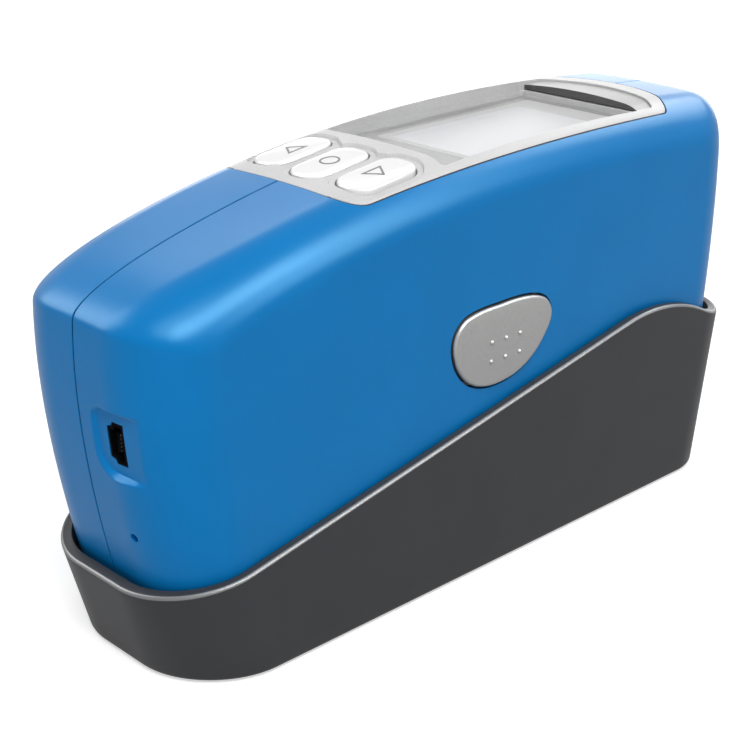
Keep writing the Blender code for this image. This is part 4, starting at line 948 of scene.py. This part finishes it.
def key_piece(name, y):
    def outline(inset):
        return rounded(KEY_LENGTH / 2.0 - inset, KEY_WIDTH / 2.0 - inset, KEY_ROUND - inset, 10, middle, y)

    middle = key_middle(y)
    flange = rounded(KEY_LENGTH / 2.0 + 0.5, KEY_WIDTH / 2.0, KEY_ROUND, 10, middle, y)
    levels = [(flange, KEY_CEILING - 1.1), (flange, KEY_CEILING - 0.3), (outline(0.0), KEY_CEILING - 0.3)]
    for inset, drop in quarter(KEY_EDGE):
        levels.append((outline(inset), lambda px, py, drop=drop: key_height(px, py) - drop))
    for share, rise in DOME:
        ring = [(middle + (px - middle) * share, y + (py - y) * share) for px, py in outline(KEY_EDGE)]
        levels.append((ring, lambda px, py, rise=rise: key_height(px, py) + rise))
    return prism(name, levels, key_white)


# %% [markdown]
# The signs are generic: an up triangle, a ring and a down triangle, as narrow printed strokes. Each
# is a closed band along its outline that follows the key's curved face. It reaches a little into
# the key and stands less than a tenth of a millimetre out of it, so no part of it sinks or floats.

# %% Signs
SIGN_WIDTH, SIGN_RISE = 0.4, 0.15


def ring_of(corners):
    """Inner and outer outline of a stroke along a closed convex chain."""
    loops = []
    for side in (-1, 1):
        loop = []
        for before, spot, after in zip(corners[-1:] + corners[:-1], corners, corners[1:] + corners[:1]):
            ways = []
            for a, b in ((before, spot), (spot, after)):
                size = math.hypot(b[0] - a[0], b[1] - a[1])
                ways.append(((b[1] - a[1]) / size, -(b[0] - a[0]) / size))
            lean = 1.0 + ways[0][0] * ways[1][0] + ways[0][1] * ways[1][1]
            step = side * SIGN_WIDTH / 2.0 / lean
            loop.append(tuple(spot[axis] + (ways[0][axis] + ways[1][axis]) * step for axis in (0, 1)))
        loops.append(loop)
    return loops


def sign_piece(name, corners):
    """Closed band along a chain of points, laid on the key's face."""
    inner, outer = ring_of(corners)
    size = len(corners)
    points = []
    for rise in (-SIGN_RISE, SIGN_RISE):
        for loop in (inner, outer):
            points += [(x, y, key_height(x, y) + rise) for x, y in loop]
    faces = []
    for k in range(size):
        n = (k + 1) % size
        faces += [(k, n, size + n, size + k), (2 * size + k, 2 * size + n, 3 * size + n, 3 * size + k),
                  (k, n, 2 * size + n, 2 * size + k), (size + k, size + n, 3 * size + n, 3 * size + k)]
    return new_object(name, points, faces, key_ink)


def dense(corners):
    """A closed chain with each side cut into six."""
    return [(lerp(a[0], b[0], share), lerp(a[1], b[1], share))
            for a, b in zip(corners, corners[1:] + corners[:1]) for share in even(6)[:-1]]


# %% Build the keys
SIGNS = {
    "up": dense([(-2.1, 1.3), (2.1, 1.3), (0.0, -1.9)]),
    "enter": [(1.8 * math.cos(math.radians(a)), 1.8 * math.sin(math.radians(a))) for a in range(0, 360, 10)],
    "down": dense([(2.1, -1.3), (-2.1, -1.3), (0.0, 1.9)]),
}
for name, y in KEYS.items():
    finished(key_piece(f"{name}_cap", y), f"{name}_key", "key_plastic", f"key_{name}", sharp=50.0)
    sign = sign_piece(f"{name}_sign", [(key_middle(y) + px, y + py) for px, py in SIGNS[name]])
    finished(sign, f"{name}_key", "black_plastic")

# %% [markdown]
# ## The side button
#
# The button stands out of the side by less than a millimetre, with a rounded edge that catches the
# light. It is a loft of the egg outline, from the flange behind the wall out to the face, with the
# edge turned over in small steps. Its own wall takes a dark finish, painted shade, so the gap round
# it reads as a fine line.

# %% The side button
BUTTON_EDGE = 0.55
FACE_LOOPS = ((1.5, 0.05), (3.0, 0.08))  # how far in each loop of the face lies, and how far out
flange_depth = SHELL_WALL + FIT
loops = [egg_loop(BUTTON_FLANGE + BUTTON_FIT, flange_depth + BUTTON_FLANGE),
         egg_loop(BUTTON_FLANGE + BUTTON_FIT, flange_depth), egg_loop(0.0, flange_depth)]
loops += [egg_loop(-inset, -BUTTON_PROUD + drop) for inset, drop in quarter(BUTTON_EDGE)]
loops += [egg_loop(-inset, -BUTTON_PROUD - rise) for inset, rise in FACE_LOOPS]
button = loft("measure_button", loops, button_silver)
# The button's side wall takes the dark finish: painted shade for the gap round it
second_finish(button, painted_shade_wall, lambda face: abs(face.normal.y) < 0.12)
finished(button, "button", "button_silver", "side_button", sharp=50.0)

# %% [markdown]
# Six small domes on the button's face give the finger its place. They repeat in two rows, so
# Geometry Nodes set them out: a grid of points, a flattened dome on each, realized and given the
# finish. The rows lie on the leaning side, so the mesh is moved onto it afterwards.

# %% Geometry Nodes helpers
def node_tree(name, sizes):
    """A geometry node tree with one named number for each size."""
    tree = bpy.data.node_groups.new(name, "GeometryNodeTree")
    tree.interface.new_socket("Geometry", in_out="INPUT", socket_type="NodeSocketGeometry")
    for size, value in sizes.items():
        kind = "NodeSocketInt" if isinstance(value, int) else "NodeSocketFloat"
        tree.interface.new_socket(size, in_out="INPUT", socket_type=kind)
    tree.interface.new_socket("Geometry", in_out="OUTPUT", socket_type="NodeSocketGeometry")
    return tree, tree.nodes.new("NodeGroupInput"), tree.nodes.new("NodeGroupOutput")


def set_out(tree, end, points, shape, finish, scale=(1.0, 1.0, 1.0)):
    """Put a shape on each point, and end the tree in Realize Instances and Set Material."""
    placed = wire(tree, "GeometryNodeInstanceOnPoints", {"Points": points, "Instance": shape, "Scale": scale})
    real = wire(tree, "GeometryNodeRealizeInstances", {"Geometry": placed.outputs["Instances"]})
    dress = wire(tree, "GeometryNodeSetMaterial", {"Geometry": real.outputs["Geometry"], "Material": finish})
    plug(tree, dress.outputs["Geometry"], end.inputs["Geometry"])


def grown(name, tree, sizes):
    """Run a tree on an empty mesh and return its result as a plain object."""
    carrier = add_object(name, bpy.data.meshes.new(name))
    modifier = carrier.modifiers.new("nodes", "NODES")
    modifier.node_group = tree
    for item in tree.interface.items_tree:
        if item.in_out == "INPUT" and item.name in sizes:
            modifier[item.identifier] = sizes[item.name]
    carrier.data = applied(carrier, modifier)
    return carrier


# %% The six domes
dome_sizes = {"Columns": 3, "Rows": 2, "Pitch": 4.05 * MM, "Row Pitch": 3.9 * MM, "Radius": 0.5 * MM}
tree, start, end = node_tree("domes", dome_sizes)
widths = []
for count, pitch in (("Columns", "Pitch"), ("Rows", "Row Pitch")):
    steps = wire(tree, "ShaderNodeMath", {0: start.outputs[count], 1: 1.0}, operation="SUBTRACT")
    width = wire(tree, "ShaderNodeMath", {0: steps.outputs[0], 1: start.outputs[pitch]}, operation="MULTIPLY")
    widths.append(width.outputs[0])
grid = wire(tree, "GeometryNodeMeshGrid", {"Size X": widths[0], "Size Y": widths[1],
                                           "Vertices X": start.outputs["Columns"],
                                           "Vertices Y": start.outputs["Rows"]})
dome = wire(tree, "GeometryNodeMeshUVSphere", {"Segments": 24, "Rings": 14,
                                               "Radius": start.outputs["Radius"]})
set_out(tree, end, grid.outputs["Mesh"], dome.outputs["Mesh"], button_silver, scale=(1.0, 1.0, 0.9))
domes = grown("button_domes", tree, dome_sizes)
DOMES_X, DOMES_Z, DOMES_OUT = 3.05, 46.95, 0.06      # their middle, and how far out it stands
for vertex in domes.data.vertices:
    along, up, out = vertex.co / MM
    z = DOMES_Z + up
    vertex.co = place(DOMES_X + along, -side_plane(z) - BUTTON_PROUD - DOMES_OUT - out, z)
outward(domes.data)
finished(domes, "button", "button_silver")

# %% [markdown]
# ## The socket
#
# The mini socket is black inside and out. Its case is a short tube with two stepped corners, and a
# tongue inside carries five flat contacts. The contacts repeat, so they are one bar instanced along
# a line of points.

# %% The socket
def mouth_loop(depth, grow):
    """The socket's outline laid on the niche's floor."""
    return [(niche_floor(y, z) + depth, y, z) for _x, y, z in port_loop(0.0, grow)]


mouth = niche_floor(PORT_Y, PORT_Z)
back = mouth + 9.0
case = loft("socket_case", [mouth_loop(0.0, -0.05), mouth_loop(0.1, 0.05), port_loop(back, 0.05)],
            socket_black)
carve(case, [loft("room", [port_loop(mouth - 3.0, -0.5), port_loop(back - 0.8, -0.5)])])
finished(case, "casing", "black_plastic", "usb_shell")

TONGUE = ((3.3, 0.45, 0.15, -1.9), (3.35, 0.5, 0.2, -1.8), (3.35, 0.5, 0.2, 1.8), (3.3, 0.45, 0.15, 1.9))
tongue = prism("socket_tongue", [(rounded(long, thick, corner, 4, mouth + 3.9, PORT_Y + 0.35), PORT_Z + z)
                                 for long, thick, corner, z in TONGUE], socket_black)
finished(tongue, "casing", "black_plastic", "usb_tongue")

# %% The contacts
contact_sizes = {"Count": 5, "Pitch": 0.7 * MM, "Length": 5.0 * MM, "Width": 0.36 * MM, "Thick": 0.12 * MM}
tree, start, end = node_tree("contacts", contact_sizes)
step = wire(tree, "ShaderNodeCombineXYZ", {"Z": start.outputs["Pitch"]})
line = wire(tree, "GeometryNodeMeshLine", {"Count": start.outputs["Count"], "Offset": step.outputs["Vector"]},
            mode="OFFSET")
bar_size = wire(tree, "ShaderNodeCombineXYZ", {"X": start.outputs["Length"], "Y": start.outputs["Thick"],
                                               "Z": start.outputs["Width"]})
bar = wire(tree, "GeometryNodeMeshCube", {"Size": bar_size.outputs["Vector"]})
set_out(tree, end, line.outputs["Mesh"], bar.outputs["Mesh"], contact_metal)
contacts = grown("socket_contacts", tree, contact_sizes)
first = Vector(place(mouth + 3.2, PORT_Y - 0.2, PORT_Z - 1.4))
for vertex in contacts.data.vertices:
    vertex.co += first
finished(contacts, "casing", "plated_steel")

# %% [markdown]
# ## The holder
#
# The cup is one moulding. Its rim climbs along both sides in a long wave, its walls lean out, and
# its rim is rounded outside, where it catches the light as a pale line; the rounding's faces also take a
# paler grey, a painted highlight. Each loop of the loft follows the cup's outline, either level or a set
# distance under the rim, so the wave and the rounding come out of the same function.

# %% The holder's outline and rim
PAD_PROUD, HOLDER_FLOOR = 0.4, 3.2       # how far the feet stand out, and the floor's thickness
CREST_X, CREST_Z, CREST_RADIUS, DIP_RADIUS = HALF - 31.8, 43.9, 42.0, 25.0
CLIMB, FALL = math.radians(11.5), math.radians(26.6)     # slopes on both sides of the crest
CORNER_FRONT, CORNER_FAR = 17.0, 13.4
WALLS = (2.6, 2.0, 1.44)                 # socket end, display end, sides
CUP_FRONT, CUP_FAR = HALF - 8.7 + 0.2 + WALLS[0], HALF - 6.0 + 1.2 + WALLS[1]   # reach of its foot
CUP_HALF = side_plane(CASE_FOOT) + 0.4 + WALLS[2]
FLARE = (0.26, 0.12, 0.03)               # how fast each wall leans out
BOW_FRONT, BOW_FAR = 1.35, 0.5           # how far the ends bow out between their corners


def rim_height(x):
    """A straight climb, a round crest and a shallow dip towards the display end."""
    start = CREST_X - CREST_RADIUS * math.sin(CLIMB)
    drop = CREST_X + CREST_RADIUS * math.sin(FALL)
    level = drop + DIP_RADIUS * math.sin(FALL)
    low = CREST_Z - (CREST_RADIUS + DIP_RADIUS) * (1.0 - math.cos(FALL))
    if x < start:
        return CREST_Z - CREST_RADIUS * (1.0 - math.cos(CLIMB)) - (start - x) * math.tan(CLIMB)
    if x < drop:
        return CREST_Z - CREST_RADIUS + math.sqrt(CREST_RADIUS ** 2 - (x - CREST_X) ** 2)
    if x < level:
        return low + DIP_RADIUS - math.sqrt(DIP_RADIUS ** 2 - (level - x) ** 2)
    return low


def cup_point(corner, along, z, insets):
    """Point of the cup's outline: past 1, along runs on from this corner to the next."""
    if along > 1.0:
        here = cup_point(corner, 1.0, z, insets)
        after = cup_point((corner + 1) % 4, 0.0, z, insets)
        return tuple(lerp(p, q, along - 1.0) for p, q in zip(here, after))
    front, far, half = (reach + flare * z - inset for reach, flare, inset in
                      zip((CUP_FRONT, CUP_FAR, CUP_HALF), FLARE, insets))
    sx, sy = ((1, 1), (-1, 1), (-1, -1), (1, -1))[corner]
    radius = CORNER_FAR - insets[1] if sx > 0 else CORNER_FRONT - insets[0]
    angle = math.radians(90.0 * (corner + along))
    x = (far - radius if sx > 0 else radius - front) + radius * math.cos(angle)
    y = sy * (half - radius) + radius * math.sin(angle)
    u = (x - (far - front) / 2.0) / ((far + front) / 2.0)
    bow = BOW_FAR if u > 0 else BOW_FRONT
    return (x - math.copysign(bow * abs(u) ** 3 * (y / half) ** 2, u), y)


CUP_PLACES = []
for corner in range(4):
    steps = 90 if corner in (0, 2) else 10
    CUP_PLACES += [(corner, k / 24.0) for k in range(25)]
    CUP_PLACES += [(corner, 1.0 + k / steps) for k in range(1, steps)]


def cup_loop(level, insets, under_rim=None):
    """Loop of the cup at a level, or at a distance under its rim."""
    loop = []
    for corner, along in CUP_PLACES:
        z = level
        if under_rim is not None:
            z = CREST_Z
            for _ in range(7):
                z = rim_height(cup_point(corner, along, z - PAD_PROUD, insets)[0]) - under_rim
        loop.append((*cup_point(corner, along, z - PAD_PROUD, insets), z))
    return loop


# %% Build the holder
RIM_ROUND, RIM_INNER, CUP_FILLET = 0.8, 0.25, 1.0    # radii: rim outside, rim inside, foot
FILLET_TURNS, WALL_SHARES = (0, 22.5, 45, 67.5, 90), (0.12, 0.5, 0.9)
POCKET_X, POCKET_Y, POCKET_DEPTH = 45.3, 14.3, 2.3   # the tray's pocket in the floor
PAD_X, PAD_Y, PAD_SEAT = HALF - 28.0, 13.0, 4.5      # place of the feet, and radius of their seats
floor_top = PAD_PROUD + HOLDER_FLOOR
rim_wall = WALLS[2] + (FLARE[2] - DRAFT) * (CREST_Z - CASE_FOOT)
rim_walls = (WALLS[0], WALLS[1], rim_wall)
loops = [cup_loop(PAD_PROUD + rise, (inset,) * 3) for rise, inset in quarter(CUP_FILLET, FILLET_TURNS)]
low, high = cup_loop(PAD_PROUD + CUP_FILLET, (0.0,) * 3), cup_loop(0.0, (0.0,) * 3, RIM_ROUND)
for share in WALL_SHARES:
    loops.append([tuple(lerp(p, q, share) for p, q in zip(a, b)) for a, b in zip(low, high)])
for inset, drop in quarter(RIM_ROUND):
    loops.append(cup_loop(0.0, (inset,) * 3, drop))
for inset, drop in quarter(RIM_INNER, (90, 45, 0)):
    loops.append(cup_loop(0.0, tuple(wall - inset for wall in rim_walls), drop))
loops.append(cup_loop(floor_top, WALLS))
cup = loft("cup", loops, charcoal)
first_ring = len(FILLET_TURNS) + len(WALL_SHARES) + 1
# The loft's first two faces are its ends, and each ring of faces follows the last
# Four rings on the rim's outer rounding take the paler grey: a painted highlight
second_finish(cup, rim_painted_highlight,
              lambda face: first_ring <= (face.index - 2) // len(CUP_PLACES) < first_ring + 4)
plan = [(sx * POCKET_X, sy * POCKET_Y) for sx, sy in ((-1, -1), (1, -1), (1, 1), (-1, 1))]
pocket = prism("pocket", [(plan, floor_top - POCKET_DEPTH), (plan, floor_top + 5.0)])
seats = [rod("seat", (sx * PAD_X, sy * PAD_Y, -1.0), (sx * PAD_X, sy * PAD_Y, 1.3), PAD_SEAT)
         for sx in (-1, 1) for sy in (-1, 1)]
carve(cup, [pocket] + seats)
finished(cup, "casing", "holder_plastic", "holder_shell")

# %% [markdown]
# ## Feet
#
# Four rubber feet sit in round seats under the cup. A foot is a turned form, so its outline is spun
# round its axis, and Geometry Nodes set it on the four corners of a rectangle.

# %% Feet
FOOT = ((1.6, 0.15), (1.9, 0.0), (2.6, 0.0), (2.9, 0.15), (3.2, 0.15), (3.5, 0.0), (3.9, 0.0), (4.2, 0.25),
        (4.2, 1.0))                      # radius and height, from the middle of its underside
pattern = loft("foot_pattern", [[(MIDDLE + radius * math.cos(turn), radius * math.sin(turn), z)
                                 for turn in circle(40)] for radius, z in FOOT], rubber)

foot_sizes = {"Length": 2.0 * PAD_X * MM, "Width": 2.0 * PAD_Y * MM}
tree, start, end = node_tree("feet", foot_sizes)
grid = wire(tree, "GeometryNodeMeshGrid", {"Size X": start.outputs["Length"], "Vertices X": 2,
                                           "Size Y": start.outputs["Width"], "Vertices Y": 2})
source = wire(tree, "GeometryNodeObjectInfo", {"Object": pattern})
set_out(tree, end, grid.outputs["Mesh"], source.outputs["Geometry"], rubber)
feet = grown("feet", tree, foot_sizes)
for vertex in feet.data.vertices:
    vertex.co.x -= MIDDLE * MM
bpy.data.objects.remove(pattern)
finished(feet, "casing", "rubber", *[f"holder_pad_{k}" for k in range(1, 5)])

# %% [markdown]
# ## Camera, floor and light
#
# The camera stands where the photograph was taken from: its place, direction and lens were found
# from the edges of the casing. The lens is given as in the photograph, in pixels, and turned into
# millimetres on the sensor.

# %% Camera
scene = bpy.context.scene
camera = add_object("camera", bpy.data.cameras.new("camera"))
FOCAL_PIXELS, FRAME_PIXELS, SENSOR = 1599.52, 750.0, 36.0
camera.data.sensor_width = SENSOR
camera.data.lens = FOCAL_PIXELS * SENSOR / FRAME_PIXELS
camera.data.clip_start = 0.01
camera.location = (-0.21602, -0.21579, 0.15900)
heading, pitch = math.radians(46.46), math.radians(22.11)
sight = Vector((math.cos(heading) * math.cos(pitch), math.sin(heading) * math.cos(pitch), -math.sin(pitch)))
camera.rotation_euler = sight.to_track_quat("-Z", "Y").to_euler()
scene.camera = camera
print("lens:", round(camera.data.lens, 1), "mm")

# %% [markdown]
# The floor is a pale plane. For the camera's own rays it is lifted to white, but it still takes the
# object's shadow. Gloss sees another strength: the satin sides mirror the floor, and in the
# photograph they are paler low on the left, so what they mirror is brightest there and fades
# towards the right and the back. The surround is a plain white world, at a little under half
# strength where it lights the object.

# %% What each kind of ray sees
def seen_strength(tree, seen, mirrored, lighting):
    """Strengths for the camera's rays, for rays in gloss and glass, and for the light on the object."""
    path = wire(tree, "ShaderNodeLightPath").outputs
    either = wire(tree, "ShaderNodeMath", {0: path["Is Glossy Ray"], 1: path["Is Transmission Ray"]},
                  operation="MAXIMUM").outputs[0]
    strength = lighting
    for ray, level in ((either, mirrored), (path["Is Camera Ray"], seen)):
        choose = wire(tree, "ShaderNodeMapRange", {"Value": ray, "To Min": strength, "To Max": level})
        strength = choose.outputs["Result"]
    return strength


# %% Floor and surround
FLOOR_SEEN, SURROUND = 0.55, 0.45
# What gloss shows of the floor: palest where X plus Y is least, on the left and near the camera
FLOOR_PALE, FLOOR_DIM, FADE_FROM, FADE_TO = 0.65, 0.1, -0.26, -0.06
scene.view_settings.view_transform = "Standard"
floor_mesh = bpy.data.meshes.new("floor")
floor_mesh.from_pydata([(-4, -4, 0), (4, -4, 0), (4, 4, 0), (-4, 4, 0)], [], [(0, 1, 2, 3)])
floor = add_object("floor", floor_mesh)
floor_finish = bpy.data.materials.new("floor_white")
floor_finish.use_nodes = True
tree = floor_finish.node_tree
tree.nodes.clear()
matt = wire(tree, "ShaderNodeBsdfDiffuse", {"Color": (0.7, 0.7, 0.7, 1.0)})
where = wire(tree, "ShaderNodeTexCoord").outputs["Object"]
parts = wire(tree, "ShaderNodeSeparateXYZ", {"Vector": where}).outputs
total = wire(tree, "ShaderNodeMath", {0: parts["X"], 1: parts["Y"]}, operation="ADD").outputs[0]
fade = wire(tree, "ShaderNodeMapRange", {"Value": total, "From Min": FADE_FROM, "From Max": FADE_TO,
                                         "To Min": FLOOR_PALE, "To Max": FLOOR_DIM}).outputs["Result"]
glow = wire(tree, "ShaderNodeEmission", {"Strength": seen_strength(tree, FLOOR_SEEN, fade, 0.0)})
both = wire(tree, "ShaderNodeAddShader", {0: matt.outputs[0], 1: glow.outputs[0]})
wire(tree, "ShaderNodeOutputMaterial", {"Surface": both.outputs[0]})
floor_mesh.materials.append(floor_finish)
floor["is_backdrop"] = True

world = bpy.data.worlds.new("surround")
scene.world = world
world.use_nodes = True
backdrop = world.node_tree.nodes["Background"]
backdrop.inputs["Color"].default_value = (1.0, 1.0, 1.0, 1.0)
plug(world.node_tree, seen_strength(world.node_tree, 1.0, 1.0, SURROUND), backdrop.inputs["Strength"])

# %% [markdown]
# Seven soft boxes light the object. The first is the studio's main light and lights matt and
# glossy surfaces alike. The others show only in gloss: each is placed where its reflection makes
# one of the bright bands that the photograph shows on the roof, the edges and the ends.

# %% Lights
def soft_box(name, azimuth, elevation, width, height, level, gloss_only=True, away=1.0):
    """Rectangular light that faces the object; a level of 1 is as bright as a white surround."""
    target = Vector((0.0, 0.0, 0.05))
    turn, rise = math.radians(azimuth), math.radians(elevation)
    spot = target + away * Vector((math.cos(turn) * math.cos(rise), math.sin(turn) * math.cos(rise),
                                   math.sin(rise)))
    data = bpy.data.lights.new(name, "AREA")
    data.shape, data.size, data.size_y = "RECTANGLE", width, height
    data.energy = level * math.pi * width * height
    light = add_object(name, data)
    light.location = spot
    light.rotation_euler = (target - spot).to_track_quat("-Z", "Y").to_euler()
    light.visible_camera = False
    light.visible_diffuse = not gloss_only
    print(name, "at", [round(part, 2) for part in spot], "m")


soft_box("key_box", 238.0, 58.0, 1.0, 1.0, 9.2, gloss_only=False, away=2.0)
soft_box("crown_box", 271.0, 47.0, 0.85, 0.36, 22.0)
soft_box("side_box", 299.0, 27.0, 0.35, 0.5, 15.0)
soft_box("right_box", 355.0, 38.0, 0.8, 0.32, 11.0)
soft_box("rim_box", 57.0, 42.0, 0.6, 0.14, 6.0)
soft_box("back_box", 38.0, 7.0, 1.1, 0.4, 2.2)
soft_box("end_box", 124.0, 33.0, 0.55, 0.75, 8.0)

# %% [markdown]
# ## Finish
#
# The box of the dressed model and the box of the solids are both printed.

# %% Print both boxes
box_of_pieces = [list(corner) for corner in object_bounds()]
for label, box in (("solids", box_of_solids), ("pieces", box_of_pieces)):
    print(label, [round((high - low) / MM, 2) for low, high in zip(*box)], "mm")
